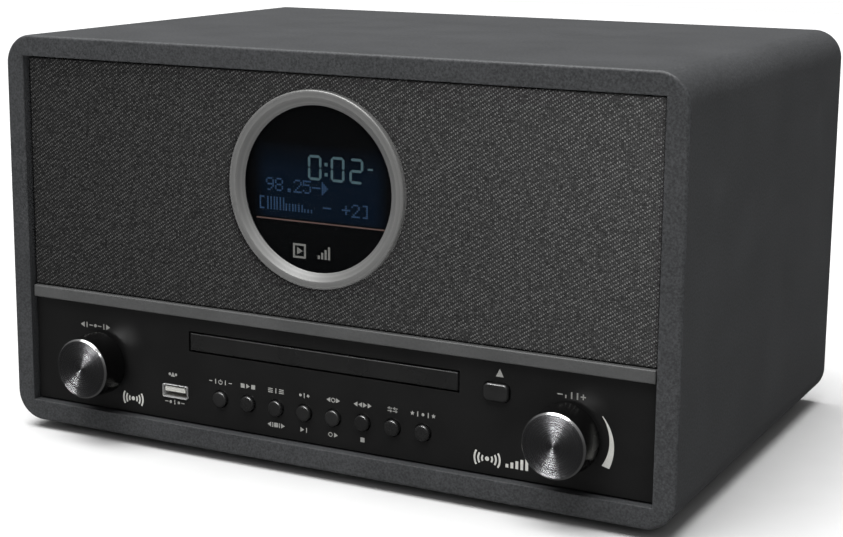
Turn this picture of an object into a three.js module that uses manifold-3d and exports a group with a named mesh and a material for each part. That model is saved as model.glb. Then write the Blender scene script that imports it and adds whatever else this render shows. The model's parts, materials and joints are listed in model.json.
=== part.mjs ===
// A tabletop radio with a disc drawer: a wrapped wooden cabinet, a cloth grille with a round display,
// and a control panel with two knobs, nine buttons and a socket.
// Millimetres. X is the width, Y goes from the front to the back and Z is up.
// Pieces are placed from the cabinet's front edge (Y 0) and the surface under the feet (Z 0);
// the whole group is moved at the end so that its origin is at the middle of its underside.
import * as THREE from "three";
import { mergeVertices } from "three/addons/utils/BufferGeometryUtils.js";
import Module from "manifold-3d";

const wasm = await Module();
wasm.setup();

// ---------- driving dimensions ----------
const gap = 0.3; // between pieces that touch, slide or fit
const sides = { few: 12, some: 16, more: 24, many: 40 }; // of round pieces

const foot = { height: 4, radius: 10, inset: 32, chamfer: 1 };
const cabinet = {
  width: 340, height: 189, depth: 235, wall: 10, radius: 14,
  rebate: 5, rebateDepth: 4, block: 15, blockLength: 30, overlap: 0.5,
};
const panel = { recess: 4, thickness: 2.5, height: 51.8, slack: 0.8 };
const trim = { recess: 1.5, height: 5.8, depth: 7.5 };
const cloth = { recess: 3.5, thickness: 0.7 };
const frame = { thickness: 3, windowLip: 2 };
const baffle = { recess: 8, thickness: 10 };
const ring = {
  above: 6.9, below: 15.9, flat: 3.4, slope: 3.6, bevel: 2.6, edge: 0.9, lip: 0.4,
  overhang: 2.7, spigotWall: 2.6, spigotEnd: 14,
};
const lens = { thickness: 2 };
const lcd = { above: 17.7, edge: 3.1, thickness: 5, board: 1.6, plugWidth: 24, plugHeight: 6, plugDepth: 7 };
const knob = {
  fromSide: 39.2, rise: 23.5, radius: 15.3, faceRadius: 14.4, front: -12.4, back: 2,
  wall: 2, face: 4, chamfer: 0.8, hubRadius: 5, hubShort: 0.5,
};
const encoder = { size: 13, depth: 8, bushing: 3.6, shaft: 2.5, tip: 3.2, push: 0.7, plunger: 2.2 };
const button = { pitch: 15.07, rise: 14.5, radius: 3.75, front: 2.3, flange: 1.3, skirt: 1, stem: 1.6, round: 0.6 };
const eject = { width: 12, height: 8, radius: 2.6, rise: 38, stem: 4, lip: 1, between: 1.5 };
const usb = {
  width: 14.2, height: 6.4, wall: 0.5, front: 3.4, depth: 13, tongue: 1.9, tongueRise: 0.5,
  tongueSide: 1.4, recess: 1.2, along: 0.43,
};
const board = { face: 14.6, thickness: 1.6, low: 4.5, over: 8, side: 8, sink: 0.4 };
const tact = { size: 6, height: 1.5, travel: 0.7 };
const disc = { radius: 60, slack: 0.6, smallRadius: 41, smallDepth: 1 };
const drawer = {
  rise: 39.9, frontWidth: 138.8, frontHeight: 8.4, frontThickness: 2.5, recess: 3.9, edge: 0.7,
  width: 130, length: 165, thickness: 6.2, discFromFront: 66, wellDepth: 2.4, slotWidth: 32, slotLead: 20,
  lip: 9, hollow: 1.2,
};
const gear = { module: 1.5, teeth: 16, height: 2.2, y: 34, backlash: 0.4, addendum: 1.25, clearance: 0.4,
  rackBack: 2, rackInset: 3, flank: 20, boss: 4 };
const loader = {
  front: 14, behind: 4, wall: 3, floor: 2, drop: 4.4, side: 0.5, leg: 7, bridge: 24, over: 3,
  ledge: 2.2, ledgeHeight: 1.4,
};
const gearMotor = { radius: 12, height: 14, shaft: 1.5 };
const spindle = { hubRadius: 13, motorRadius: 14.5, motorHeight: 9, shaft: 1.2, bearing: 1, coneHeight: 1.6,
  coneLow: 7.2, coneHigh: 6.2, lower: 0.4, over: 0.6 };
const clamp = { radius: 13, neck: 8, disc: 1.8, shelf: 1.5 };
const sled = { width: 26, length: 24, height: 5.5, travel: 30, start: 28, rodRadius: 1.5, rodIn: 4, rodUp: 1.2,
  lens: 3.5, lensGap: 1.6, room: 3 };
// A driver's sizes are those of one with this flange radius, and grow and shrink with it.
const speaker = {
  flangeRadius: 44, edgeRoom: 11.7, flange: 2.2, rim: 5.5, depth: 18, straight: 3.3, sheet: 1.4,
  throat: 26, plate: 14.5, magnetRadius: 30, magnetDepth: 18, topPlate: 3, coil: 12.5, coilGap: 0.6, gapDepth: 8.5,
  coneDepth: 15, coneSheet: 0.7, roll: 3.2, coneSlack: 1.9, former: 11, cap: 4, apart: 2,
};
const back = { thickness: 3, head: 3.2, headHeight: 2, shank: 1.4, screw: 16, vents: 9, ventPitch: 7,
  ventWidth: 64, ventHeight: 3 };
const inlet = { fromSide: 48, rise: 30, width: 27, height: 16, depth: 15, flange: 2, proud: 1.2,
  socketWidth: 14.8, socketHeight: 8.4, socketDepth: 11, pin: 1.2, pinPitch: 8.6, pinLength: 8.5 };
const antenna = {
  fromSide: 28, drop: 14, baseRadius: 6.5, baseRim: 1.4, stand: 3.5, stud: 9, knuckle: 5, ear: 2, tongue: 4,
  reach: 11.5, pin: 1.2, radii: [3, 2.2, 1.4], wall: 0.5, length: 133, travel: 118, shoulder: 3, solid: 7,
  step: 1.5, knob: 2.4, knobLength: 6,
};
const mainBoard = {
  width: 104, front: 20, fromBack: 36, rise: 6, post: 3, postIn: 6, chipsFrom: 30, chipLength: 28,
  processor: [-14, 14, 3], tuner: [18, 42, 5], sinkInset: 6, sinkLength: 36, sinkFrom: 14, sinkDepth: 12,
  sinkHeight: 20, capacitor: 5, capacitorHeight: 14, capacitorPitch: 14, capacitorFrom: 18,
};
const supply = {
  length: 87, width: 76, fromSide: 8, fromBack: 38, transformer: [36, 30, 30], inset: 14, reservoir: 8,
  reservoirX: 32, reservoirFrom: 22, reservoirDrop: 4,
};

// ---------- places worked out from them ----------
const floorZ = foot.height + cabinet.wall; // the cabinet's inner floor
const innerHalf = cabinet.width / 2 - cabinet.wall;
const roofZ = foot.height + cabinet.height - cabinet.wall;
const trimLow = floorZ + panel.height;
const trimHigh = trimLow + trim.height;
const panelBack = panel.recess + panel.thickness;
const clothBack = cloth.recess + cloth.thickness;
const baffleBack = baffle.recess + baffle.thickness;
const ringRadius = (roofZ - trimHigh - ring.above - ring.below) / 2;
const ringInner = ringRadius - ring.flat - ring.slope;
const spigot = ringRadius - ring.overhang;
const displayZ = roofZ - ring.above - ringRadius;
const speakerZ = (trimHigh + roofZ) / 2;
const speakerX = (ringRadius + innerHalf) / 2 + speaker.apart;
const speakerRadius = Math.min(roofZ - trimHigh, innerHalf - spigot) / 2 - speaker.edgeRoom;
const driver = Object.fromEntries(
  Object.entries(speaker).map(([name, size]) => [name, (size * speakerRadius) / speaker.flangeRadius]));
const speakerHole = speakerRadius - driver.rim;
const buttonNames = ["standby", "mode", "menu", "program", "repeat", "scan", "tone", "preset"];
const buttonXs = buttonNames.map((_, i) => (i - (buttonNames.length - 1) / 2) * button.pitch);
const buttonZ = floorZ + button.rise;
const drawerZ = floorZ + drawer.rise;
const slotHalf = drawer.frontWidth / 2 + drawer.edge;
const nearestKnob = slotHalf + eject.width + 2 * (eject.lip + eject.between) + knob.radius;
const knobX = Math.max(innerHalf - knob.fromSide, nearestKnob);
const knobZ = floorZ + knob.rise;
const ejectX = (slotHalf + knobX - knob.radius) / 2;
const ejectZ = floorZ + eject.rise;
const rowEnd = buttonXs[0] - button.radius - button.flange;
const usbX = rowEnd + usb.along * (knob.radius - knobX - rowEnd);
const stemEnd = board.face - tact.height - tact.travel - gap;
const trayFront = drawer.recess + drawer.frontThickness + gap;
const trayBack = trayFront + drawer.length;
const trayHigh = drawerZ + drawer.frontHeight / 2;
const trayLow = trayHigh - drawer.thickness;
const discY = trayFront + drawer.discFromFront;
const wellFloor = trayHigh - drawer.wellDepth;
const loaderFloor = trayLow - loader.drop; // the upper side of the loader's floor
const loaderUnder = loaderFloor - loader.floor;
const loaderTop = trayHigh + loader.over; // the lower side of the bridge
const loaderInner = drawer.width / 2 + loader.side;
const loaderOuter = loaderInner + loader.wall;
const rebateY = cabinet.depth - cabinet.rebateDepth;
const backFace = rebateY + gap + back.thickness;
const inletX = innerHalf - inlet.fromSide;
const inletZ = floorZ + inlet.rise;
const antennaX = antenna.fromSide - innerHalf;
const antennaZ = roofZ - antenna.drop;
const hingeY = backFace + antenna.reach;

// ---------- materials ----------
function finish(color, roughness, metalness = 0) {
  return new THREE.MeshStandardMaterial({ color, roughness, metalness });
}
const wrap = finish(0x3b3d40, 0.6);
const rubber = finish(0x141414, 0.9);
const fabric = finish(0x333333, 0.95);
const fibreboard = finish(0x8a6a48, 0.85);
const panelPlastic = finish(0x151517, 0.3);
const mouldedPlastic = finish(0x1b1b1d, 0.55);
const greyPlastic = finish(0x5f6062, 0.5);
const satinMetal = finish(0x8d8d8c, 0.35, 0.9);
const knobMetal = finish(0x2a2b2e, 0.3, 0.9);
const lensPlastic = finish(0x07090c, 0.08);
const displayGlass = finish(0x0d1b33, 0.2);
const steel = finish(0xa8a9ab, 0.35, 0.95);
const chrome = finish(0xd0d0d2, 0.12, 1);
const circuit = finish(0x1f5a38, 0.5);
const nylon = finish(0xe4e1d6, 0.5);
const ferrite = finish(0x2a2a2c, 0.7);
const paper = finish(0x1a1a1a, 0.9);

// ---------- solids ----------
function solidOf(geometry) {
  const bare = geometry.index ? geometry.toNonIndexed() : geometry.clone();
  bare.deleteAttribute("normal");
  bare.deleteAttribute("uv");
  const merged = mergeVertices(bare, 1e-3);
  return new wasm.Manifold(new wasm.Mesh({
    numProp: 3,
    vertProperties: merged.attributes.position.array,
    triVerts: new Uint32Array(merged.index.array),
  }));
}

function geometryOf(solid) {
  const mesh = solid.getMesh();
  const geometry = new THREE.BufferGeometry();
  geometry.setAttribute("position", new THREE.BufferAttribute(mesh.vertProperties, 3));
  geometry.setIndex(new THREE.BufferAttribute(mesh.triVerts, 1));
  return geometry;
}

function joined(...geometries) {
  const [first, ...rest] = geometries.map(solidOf);
  return geometryOf(rest.reduce((whole, part) => whole.add(part), first));
}

function cut(geometry, ...cutters) {
  return geometryOf(cutters.map(solidOf).reduce((whole, part) => whole.subtract(part), solidOf(geometry)));
}

// A block between two corners.
function block(x0, x1, y0, y1, z0, z1) {
  const geometry = new THREE.BoxGeometry(x1 - x0, y1 - y0, z1 - z0);
  return geometry.translate((x0 + x1) / 2, (y0 + y1) / 2, (z0 + z1) / 2);
}

// A profile of [radius, distance along the axis] pairs turned about Y.
function turned(profile, segments = sides.more) {
  const points = profile.map(([r, y]) => new THREE.Vector2(r, y));
  if (THREE.ShapeUtils.area(points) < 0) points.reverse();
  if (points[0].x > 0 || points.at(-1).x > 0) points.push(points[0].clone());
  return new THREE.LatheGeometry(points, segments);
}

// The same about Z, with the profile's second number as the height.
function turnedUp(profile, segments = sides.more) {
  return turned(profile, segments).rotateX(Math.PI / 2);
}

// A cylinder along Y, Z or X between two distances.
function rod(radius, from, to, segments = sides.some) {
  return turned([[0, from], [radius, from], [radius, to], [0, to]], segments);
}
function post(radius, from, to, segments = sides.some) {
  return rod(radius, from, to, segments).rotateX(Math.PI / 2);
}
function axle(radius, from, to, segments = sides.some) {
  return rod(radius, from, to, segments).rotateZ(-Math.PI / 2);
}

// An outline in X and Z, extruded from y0 to y1.
function plate(shape, y0, y1, curveSegments = 6) {
  const geometry = new THREE.ExtrudeGeometry(shape, { depth: y1 - y0, bevelEnabled: false, curveSegments });
  return geometry.rotateX(Math.PI / 2).translate(0, y1, 0);
}

// An outline in X and Y, extruded from z0 to z1.
function slab(shape, z0, z1) {
  const geometry = new THREE.ExtrudeGeometry(shape, { depth: z1 - z0, bevelEnabled: false });
  return geometry.translate(0, 0, z0);
}

function rectangle(x0, x1, z0, z1, radius = 0, path = new THREE.Shape()) {
  if (radius === 0) {
    path.moveTo(x0, z0).lineTo(x1, z0).lineTo(x1, z1).lineTo(x0, z1).closePath();
    return path;
  }
  path.moveTo(x0 + radius, z0).lineTo(x1 - radius, z0);
  path.absarc(x1 - radius, z0 + radius, radius, -Math.PI / 2, 0);
  path.lineTo(x1, z1 - radius).absarc(x1 - radius, z1 - radius, radius, 0, Math.PI / 2);
  path.lineTo(x0 + radius, z1).absarc(x0 + radius, z1 - radius, radius, Math.PI / 2, Math.PI);
  path.lineTo(x0, z0 + radius).absarc(x0 + radius, z0 + radius, radius, Math.PI, 1.5 * Math.PI);
  return path;
}

function circle(x, z, radius) {
  const path = new THREE.Path();
  path.absarc(x, z, radius, 0, 2 * Math.PI);
  return path;
}

// A window around a middle, half as wide and high as given.
function hole(x, z, halfWidth, halfHeight, radius = 0) {
  return rectangle(x - halfWidth, x + halfWidth, z - halfHeight, z + halfHeight, radius, new THREE.Path());
}

const radio = new THREE.Group();

function piece(name, geometry, material, x = 0, y = 0, z = 0) {
  const mesh = new THREE.Mesh(geometry, material);
  mesh.name = name;
  mesh.position.set(x, y, z);
  radio.add(mesh);
}

// ---------- cabinet, feet and back ----------
// The middles of the four corner blocks, which sink into the walls a little so that they are one solid.
const blockMiddle = cabinet.block / 2 - cabinet.overlap;
const backCorners = [-1, 1].flatMap((side) =>
  [floorZ + blockMiddle, roofZ - blockMiddle].map((z) => [side * (innerHalf - blockMiddle), z]));

function cabinetShell() {
  const half = cabinet.width / 2;
  const shape = rectangle(-half, half, foot.height, foot.height + cabinet.height, cabinet.radius);
  shape.holes.push(rectangle(-innerHalf, innerHalf, floorZ, roofZ, 0, new THREE.Path()));
  const tube = plate(shape, 0, cabinet.depth);
  const wide = innerHalf + cabinet.rebate;
  const low = floorZ - cabinet.rebate;
  const rebate = block(-wide, wide, rebateY, cabinet.depth + 1, low, roofZ + cabinet.rebate);
  const b = cabinet.block / 2;
  const blocks = backCorners.map(([x, z]) =>
    block(x - b, x + b, rebateY - cabinet.blockLength, rebateY, z - b, z + b));
  const pilots = backCorners.map(([x, z]) =>
    rod(back.shank + gap, rebateY - back.screw - 2, rebateY + 1, sides.few).translate(x, 0, z));
  return cut(joined(tube, ...blocks), rebate, ...pilots);
}

function backPanel() {
  const wide = innerHalf + cabinet.rebate - gap;
  const low = floorZ - cabinet.rebate + gap;
  const shape = rectangle(-wide, wide, low, roofZ + cabinet.rebate - gap);
  for (const [x, z] of backCorners) shape.holes.push(circle(x, z, back.shank + gap));
  shape.holes.push(circle(antennaX, antennaZ, antenna.radii[0] + gap));
  shape.holes.push(hole(inletX, inletZ, inlet.width / 2 - inlet.flange, inlet.height / 2 - inlet.flange));
  for (let i = 0; i < back.vents; i += 1) {
    const z = speakerZ + (i - (back.vents - 1) / 2) * back.ventPitch;
    shape.holes.push(hole(0, z, back.ventWidth / 2, back.ventHeight / 2));
  }
  return plate(shape, rebateY + gap, backFace);
}

function backScrew() {
  const { head, headHeight, shank, screw } = back;
  return turned([[0, headHeight], [head * 0.8, headHeight * 0.8], [head, 0], [shank, 0], [shank, -screw],
    [0, -screw - shank]], sides.few);
}

function rubberFoot() {
  const { radius, chamfer, height } = foot;
  return turnedUp([[0, 0], [radius - chamfer, 0], [radius, chamfer], [radius, height - gap], [0, height - gap]]);
}

piece("cabinet", cabinetShell(), wrap);
const footX = cabinet.width / 2 - foot.inset;
for (const [place, y] of [["front", foot.inset], ["rear", cabinet.depth - foot.inset]]) {
  piece(`foot_${place}_left`, rubberFoot(), rubber, -footX, y, 0);
  piece(`foot_${place}_right`, rubberFoot(), rubber, footX, y, 0);
}
piece("back_panel", backPanel(), mouldedPlastic);
backCorners.forEach(([x, z], i) => piece(`back_screw_${i + 1}`, backScrew(), steel, x, backFace + gap / 2, z));

// ---------- grille and baffle ----------
function grilleSheet(slack, windowRadius, front, thickness) {
  const half = innerHalf - slack;
  const shape = rectangle(-half, half, trimHigh + gap, roofZ - slack);
  shape.holes.push(circle(0, displayZ, spigot + gap));
  if (windowRadius > 0) {
    for (const side of [-1, 1]) shape.holes.push(circle(side * speakerX, speakerZ, windowRadius));
  }
  return plate(shape, front, front + thickness, 14);
}

function trimStrip() {
  const half = innerHalf - panel.slack;
  return block(-half, half, trim.recess, trim.recess + trim.depth, trimLow, trimHigh);
}

piece("grille_cloth", grilleSheet(panel.slack, 0, cloth.recess, cloth.thickness), fabric);
piece("grille_frame", grilleSheet(panel.slack, speakerRadius + frame.windowLip, clothBack + gap, frame.thickness),
  mouldedPlastic);
piece("speaker_baffle", grilleSheet(gap, speakerHole, baffle.recess, baffle.thickness), fibreboard);
piece("trim_strip", trimStrip(), greyPlastic);

// ---------- speakers, with Y 0 at the flange's front ----------
const basketEnd = driver.flange + driver.depth;
const magnetFront = basketEnd + gap;

function speakerBasket() {
  const { flange, straight, throat, plate: plateHole, sheet } = driver;
  const bend = flange + straight;
  return turned([[speakerRadius, 0], [speakerRadius, flange], [speakerHole + 1, flange], [speakerHole + 1, bend],
    [throat, basketEnd], [plateHole, basketEnd], [plateHole, basketEnd - sheet], [throat - sheet, basketEnd - sheet],
    [speakerHole - 1, bend], [speakerHole - 1, 0]]);
}

// The magnet with its pole piece, and the ring-shaped gap that the coil moves in.
function speakerMagnet() {
  const { magnetRadius, magnetDepth, topPlate, coil, coneSheet, coilGap, gapDepth } = driver;
  const pole = coil - coneSheet - coilGap;
  const plateRadius = magnetRadius - 2;
  const end = magnetFront + magnetDepth;
  return turned([[0, magnetFront], [pole, magnetFront], [pole, magnetFront + gapDepth],
    [coil + coilGap, magnetFront + gapDepth], [coil + coilGap, magnetFront], [plateRadius, magnetFront],
    [plateRadius, magnetFront + topPlate], [magnetRadius, magnetFront + topPlate], [magnetRadius, end - topPlate],
    [plateRadius, end - topPlate], [plateRadius, end], [0, end]], sides.some);
}

// The surround's half roll, the cone, the dust cap and the coil former, as one thin turned shell.
function speakerCone() {
  const { coneSheet: sheet, roll, coneDepth, coil, former, cap } = driver;
  const rollMiddle = speakerHole - driver.coneSlack - roll;
  const steps = [0, 0.25, 0.5, 0.75, 1];
  const arc = (r) => steps.map((s) => [rollMiddle + r * Math.cos(Math.PI * s), -r * Math.sin(Math.PI * s)]);
  const capY = coneDepth - cap;
  return turned([...arc(roll), [coil, coneDepth], [0, capY], [0, capY + sheet], [coil - sheet, coneDepth + sheet],
    [coil - sheet, coneDepth + former], [coil, coneDepth + former], [coil, coneDepth + sheet],
    ...arc(roll - sheet).reverse()]);
}

for (const [side, name] of [[-1, "left"], [1, "right"]]) {
  const at = [side * speakerX, baffleBack + gap, speakerZ];
  piece(`speaker_basket_${name}`, speakerBasket(), steel, ...at);
  piece(`speaker_magnet_${name}`, speakerMagnet(), ferrite, ...at);
  piece(`speaker_cone_${name}`, speakerCone(), paper, ...at);
}

// ---------- round display ----------
const seat = cloth.recess - gap; // the back of the ring's overhang, in front of the cloth
const carrier = spigot - ring.spigotWall - gap;
const lensFront = ring.bevel + ring.lip + gap;
const lcdFront = lensFront + lens.thickness + gap;

function displayRing() {
  const { flat, edge, bevel, lip, spigotWall, spigotEnd } = ring;
  return turned([[ringRadius, seat], [ringRadius, edge], [ringRadius - edge, 0], [ringRadius - flat, 0],
    [ringInner, bevel], [ringInner, bevel + lip], [spigot - spigotWall, bevel + lip],
    [spigot - spigotWall, spigotEnd], [spigot, spigotEnd], [spigot, seat]], sides.many);
}

function displayModule() {
  const { above, edge, thickness, board: sheet, plugWidth, plugHeight, plugDepth } = lcd;
  const rear = lcdFront + thickness;
  const h = carrier - above;
  const w = Math.sqrt((carrier - edge) ** 2 - h ** 2);
  const glass = block(-w, w, lcdFront, rear + sheet / 2, -h, h);
  const plug = block(-plugWidth / 2, plugWidth / 2, rear + sheet / 2, rear + plugDepth, -plugHeight, 0);
  return joined(glass, rod(carrier, rear, rear + sheet, sides.more), plug);
}

piece("display_ring", displayRing(), satinMetal, 0, 0, displayZ);
piece("display_lens", rod(carrier, lensFront, lensFront + lens.thickness, sides.many), lensPlastic, 0, 0, displayZ);
piece("display_module", displayModule(), displayGlass, 0, 0, displayZ);

// ---------- control panel ----------
function controlPanel() {
  const half = innerHalf - panel.slack;
  const shape = rectangle(-half, half, floorZ + panel.slack, trimLow - gap);
  for (const x of buttonXs) shape.holes.push(circle(x, buttonZ, button.radius + gap));
  for (const side of [-1, 1]) shape.holes.push(circle(side * knobX, knobZ, encoder.bushing + gap));
  shape.holes.push(hole(0, drawerZ, slotHalf, drawer.frontHeight / 2 + drawer.edge));
  shape.holes.push(hole(ejectX, ejectZ, eject.width / 2 + gap, eject.height / 2 + gap, eject.radius + gap));
  shape.holes.push(hole(usbX, buttonZ, usb.width / 2 + gap, usb.height / 2 + gap));
  return plate(shape, panel.recess, panelBack);
}

function pushButton() {
  const { radius, front, flange, skirt, stem, round } = button;
  const rear = panelBack + gap;
  return turned([[0, front], [radius - round, front], [radius, front + round], [radius, rear],
    [radius + flange, rear], [radius + flange, rear + skirt], [stem, rear + skirt], [stem, stemEnd], [0, stemEnd]], sides.some);
}

function ejectButton() {
  const [w, h, s] = [eject.width / 2, eject.height / 2, eject.stem / 2];
  const rear = panelBack + gap;
  const cap = plate(rectangle(-w, w, -h, h, eject.radius), button.front, rear + gap, 4);
  const skirt = block(-w - eject.lip, w + eject.lip, rear, rear + button.skirt, -h - eject.lip, h + eject.lip);
  return joined(cap, skirt, block(-s, s, rear + gap, stemEnd, -s, s));
}

function usbSocket() {
  const [w, h, end] = [usb.width / 2, usb.height / 2, usb.front + usb.depth];
  const shell = block(-w, w, usb.front, end, -h, h);
  const mouth = block(-w + usb.wall, w - usb.wall, usb.front - 1, end - usb.recess, -h + usb.wall, h - usb.wall);
  const tongueLow = usb.tongueRise - usb.tongue / 2;
  const tongue = block(-w + usb.tongueSide, w - usb.tongueSide, usb.front + usb.recess, end - usb.wall,
    tongueLow, tongueLow + usb.tongue);
  return joined(cut(shell, mouth), tongue);
}

// One turned piece of metal, hollow behind its face, with a hub that holds the shaft.
function knobBody() {
  const { radius, faceRadius, front, back: rear, wall, face, chamfer, hubRadius, hubShort } = knob;
  const bore = encoder.shaft + gap;
  const inside = front + face;
  return turned([[0, front], [faceRadius - chamfer, front], [faceRadius, front + chamfer], [radius, rear],
    [radius - wall, rear], [faceRadius - wall, inside], [hubRadius, inside], [hubRadius, rear - hubShort],
    [bore, rear - hubShort], [bore, inside - gap], [0, inside - gap]]);
}

const encoderFront = panelBack + gap;
const encoderBack = encoderFront + encoder.depth;
const shaftEnd = encoderBack - encoder.tip;
function rotaryEncoder() {
  const half = encoder.size / 2;
  const body = block(-half, half, encoderFront, encoderBack, -half, half);
  const bushing = rod(encoder.bushing, panel.recess, encoderFront + 1);
  return cut(joined(body, bushing), rod(encoder.shaft + gap, panel.recess - 1, encoderBack + 1));
}

function encoderShaft() {
  return rod(encoder.shaft, knob.front + knob.face, shaftEnd);
}

piece("control_panel", controlPanel(), panelPlastic);
buttonNames.forEach((name, i) => piece(`button_${name}`, pushButton(), mouldedPlastic, buttonXs[i], 0, buttonZ));
piece("button_eject", ejectButton(), mouldedPlastic, ejectX, 0, ejectZ);
piece("usb_socket", usbSocket(), steel, usbX, 0, buttonZ);
for (const [side, name] of [[-1, "tuning"], [1, "volume"]]) {
  const at = [side * knobX, 0, knobZ];
  piece(`${name}_knob`, knobBody(), knobMetal, ...at);
  piece(`${name}_encoder`, rotaryEncoder(), mouldedPlastic, ...at);
  piece(`${name}_shaft`, encoderShaft(), steel, ...at);
}
// The plunger of the push switch behind the tuning shaft.
const plungerEnd = encoderBack - encoder.push - gap;
piece("tuning_plunger", rod(encoder.plunger, shaftEnd + gap, plungerEnd), nylon, -knobX, 0, knobZ);

// The switch board: a strip behind the round buttons with an arm up to the eject button's switch.
function buttonBoard() {
  const rear = board.face + board.thickness;
  const [left, right] = [buttonXs[0] - board.side, ejectX + board.side];
  const top = buttonZ + board.over;
  const strip = block(left, right, board.face, rear, floorZ + board.low, top);
  const arm = block(ejectX - board.side, right, board.face, rear, top - 1, ejectZ + board.over);
  const half = tact.size / 2;
  const switches = [...buttonXs.map((x) => [x, buttonZ]), [ejectX, ejectZ]].map(([x, z]) =>
    block(x - half, x + half, board.face - tact.height, board.face + board.sink, z - half, z + half));
  return joined(strip, arm, ...switches);
}
piece("button_board", buttonBoard(), circuit);

// ---------- disc drawer and its mechanism ----------
const pitch = Math.PI * gear.module;
const pitchRadius = (gear.module * gear.teeth) / 2;
const rackX = gear.rackInset - drawer.width / 2; // the back of the rack
const rackRoot = rackX + gear.rackBack;
const rackTip = rackRoot + 2 * gear.addendum + gear.clearance;
const rackPitchX = rackTip - gear.addendum;
const gearX = rackPitchX + pitchRadius;
const gearHigh = trayLow - gap;
const gearLow = gearHigh - gear.height;
const halfTooth = (pitch / 2 - gear.backlash) / 2;

// The rack under the tray's left edge. One of its teeth stands at the gear's middle.
function rack() {
  const slope = Math.tan(THREE.MathUtils.degToRad(gear.flank));
  const root = halfTooth + (rackPitchX - rackRoot) * slope;
  const tip = halfTooth - gear.addendum * slope;
  const first = gear.y - pitch;
  const count = Math.floor((trayBack - first - pitch) / pitch);
  const end = first + count * pitch;
  const shape = new THREE.Shape();
  shape.moveTo(rackX, end).lineTo(rackX, first - pitch).lineTo(rackRoot, first - pitch);
  for (let i = 0; i < count; i += 1) {
    const y = first + i * pitch;
    shape.lineTo(rackRoot, y - root).lineTo(rackTip, y - tip).lineTo(rackTip, y + tip).lineTo(rackRoot, y + root);
  }
  shape.lineTo(rackRoot, end).closePath();
  return slab(shape, gearLow, trayLow + gap);
}

// A plate with a round well and a slot for the spindle that is open at the rear, on the rack.
function discTray() {
  const half = drawer.width / 2;
  const body = block(-half, half, trayFront, trayBack, trayLow, trayHigh);
  const well = post(disc.radius + disc.slack, wellFloor, trayHigh + 1, sides.many).translate(0, discY, 0);
  const smallWell = post(disc.smallRadius, wellFloor - disc.smallDepth, trayHigh, sides.more);
  const w = drawer.slotWidth / 2;
  const slot = block(-w, w, discY - drawer.slotLead, trayBack + 1, trayLow - 1, trayHigh + 1);
  const hollowHalf = half - drawer.lip;
  const underside = block(-hollowHalf, hollowHalf, trayFront + drawer.lip, trayBack + 1,
    trayLow - 1, trayLow + drawer.hollow);
  return joined(cut(body, well, smallWell.translate(0, discY, 0), slot, underside), rack());
}

// A spur gear with involute flanks, on its own shaft; the space between two teeth faces the rack.
function loadingGear() {
  const base = pitchRadius * Math.cos(THREE.MathUtils.degToRad(gear.flank));
  const involute = (r) => Math.tan(Math.acos(base / r)) - Math.acos(base / r);
  const halfAngle = (r) => halfTooth / pitchRadius + involute(pitchRadius) - involute(Math.max(r, base));
  const root = pitchRadius - gear.addendum - gear.clearance;
  const radii = [Math.min(root, base), base, pitchRadius, pitchRadius + gear.addendum];
  const points = [];
  for (let i = 0; i < gear.teeth; i += 1) {
    const middle = Math.PI + ((i + 0.5) * 2 * Math.PI) / gear.teeth;
    for (const r of radii) points.push([r, middle - halfAngle(r)]);
    for (const r of radii.toReversed()) points.push([r, middle + halfAngle(r)]);
  }
  const outline = new THREE.Shape(points.map(([r, a]) => new THREE.Vector2(r * Math.cos(a), r * Math.sin(a))));
  const shaft = post(gearMotor.shaft, loaderUnder - gap - gearMotor.height / 3, gearLow + gap, sides.few);
  const boss = post(gear.boss, loaderFloor + gap, gearLow + gap);
  return joined(slab(outline, gearLow, gearHigh), shaft, boss);
}

function loadingMotor() {
  const top = loaderUnder - gap;
  const can = post(gearMotor.radius, top - gearMotor.height, top, sides.more);
  return cut(can, post(gearMotor.shaft + gap, top - gearMotor.height / 3 - 1, top + 1, sides.few));
}

// An open-topped frame on four legs, with an opening for the spindle and the sled, a bridge over the disc
// that holds the clamp, and ledges that carry the tray.
function loaderFrame() {
  const [y0, y1] = [loader.front, trayBack + loader.behind];
  const top = loaderTop + loader.floor;
  const parts = [
    block(-loaderOuter, loaderOuter, discY - loader.bridge / 2, discY + loader.bridge / 2, loaderTop, top),
  ];
  for (const side of [-1, 1]) {
    const across = (a, b) => (side < 0 ? [-b, -a] : [a, b]);
    parts.push(block(...across(loaderInner, loaderOuter), y0, y1, loaderUnder, top));
    const ledge = trayLow - gap - loader.ledgeHeight;
    parts.push(block(...across(loaderInner - loader.ledge, loaderInner + 1), y0, y1, ledge, trayLow - gap));
    for (const y of [board.face + board.thickness + loader.leg / 2, y1 - loader.leg]) {
      parts.push(block(...across(loaderOuter - loader.leg, loaderOuter), y, y + loader.leg,
        floorZ + gap, loaderFloor));
    }
  }
  const floor = block(-loaderOuter, loaderOuter, y0, y1, loaderUnder, loaderFloor);
  const w = spindle.motorRadius + sled.room;
  const sledRoom = sled.length / 2 + sled.room;
  const window = block(-w, w, sledY - sledRoom, sledY + sled.travel + sledRoom, loaderUnder - 1, loaderFloor + 1);
  const neck = post(clamp.neck + gap, loaderTop - 1, top + 1, sides.more).translate(0, discY, 0);
  const spindleHole = post(spindle.shaft + 1, loaderUnder - 1, loaderFloor + 1, sides.few);
  const gearHole = post(gearMotor.shaft + gap, loaderUnder - 1, loaderFloor + 1, sides.few);
  return cut(joined(floor, ...parts), window, neck, spindleHole.translate(0, discY, 0),
    gearHole.translate(gearX, gear.y, 0));
}

const motorTop = loaderUnder - gap;
const motorBearing = motorTop - 2;
function spindleMotor() {
  const { motorRadius, motorHeight, shaft, bearing } = spindle;
  return turnedUp([[0, motorTop - motorHeight], [motorRadius, motorTop - motorHeight], [motorRadius, motorTop],
    [shaft + bearing, motorTop], [shaft + bearing, motorBearing], [0, motorBearing]]);
}

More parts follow.
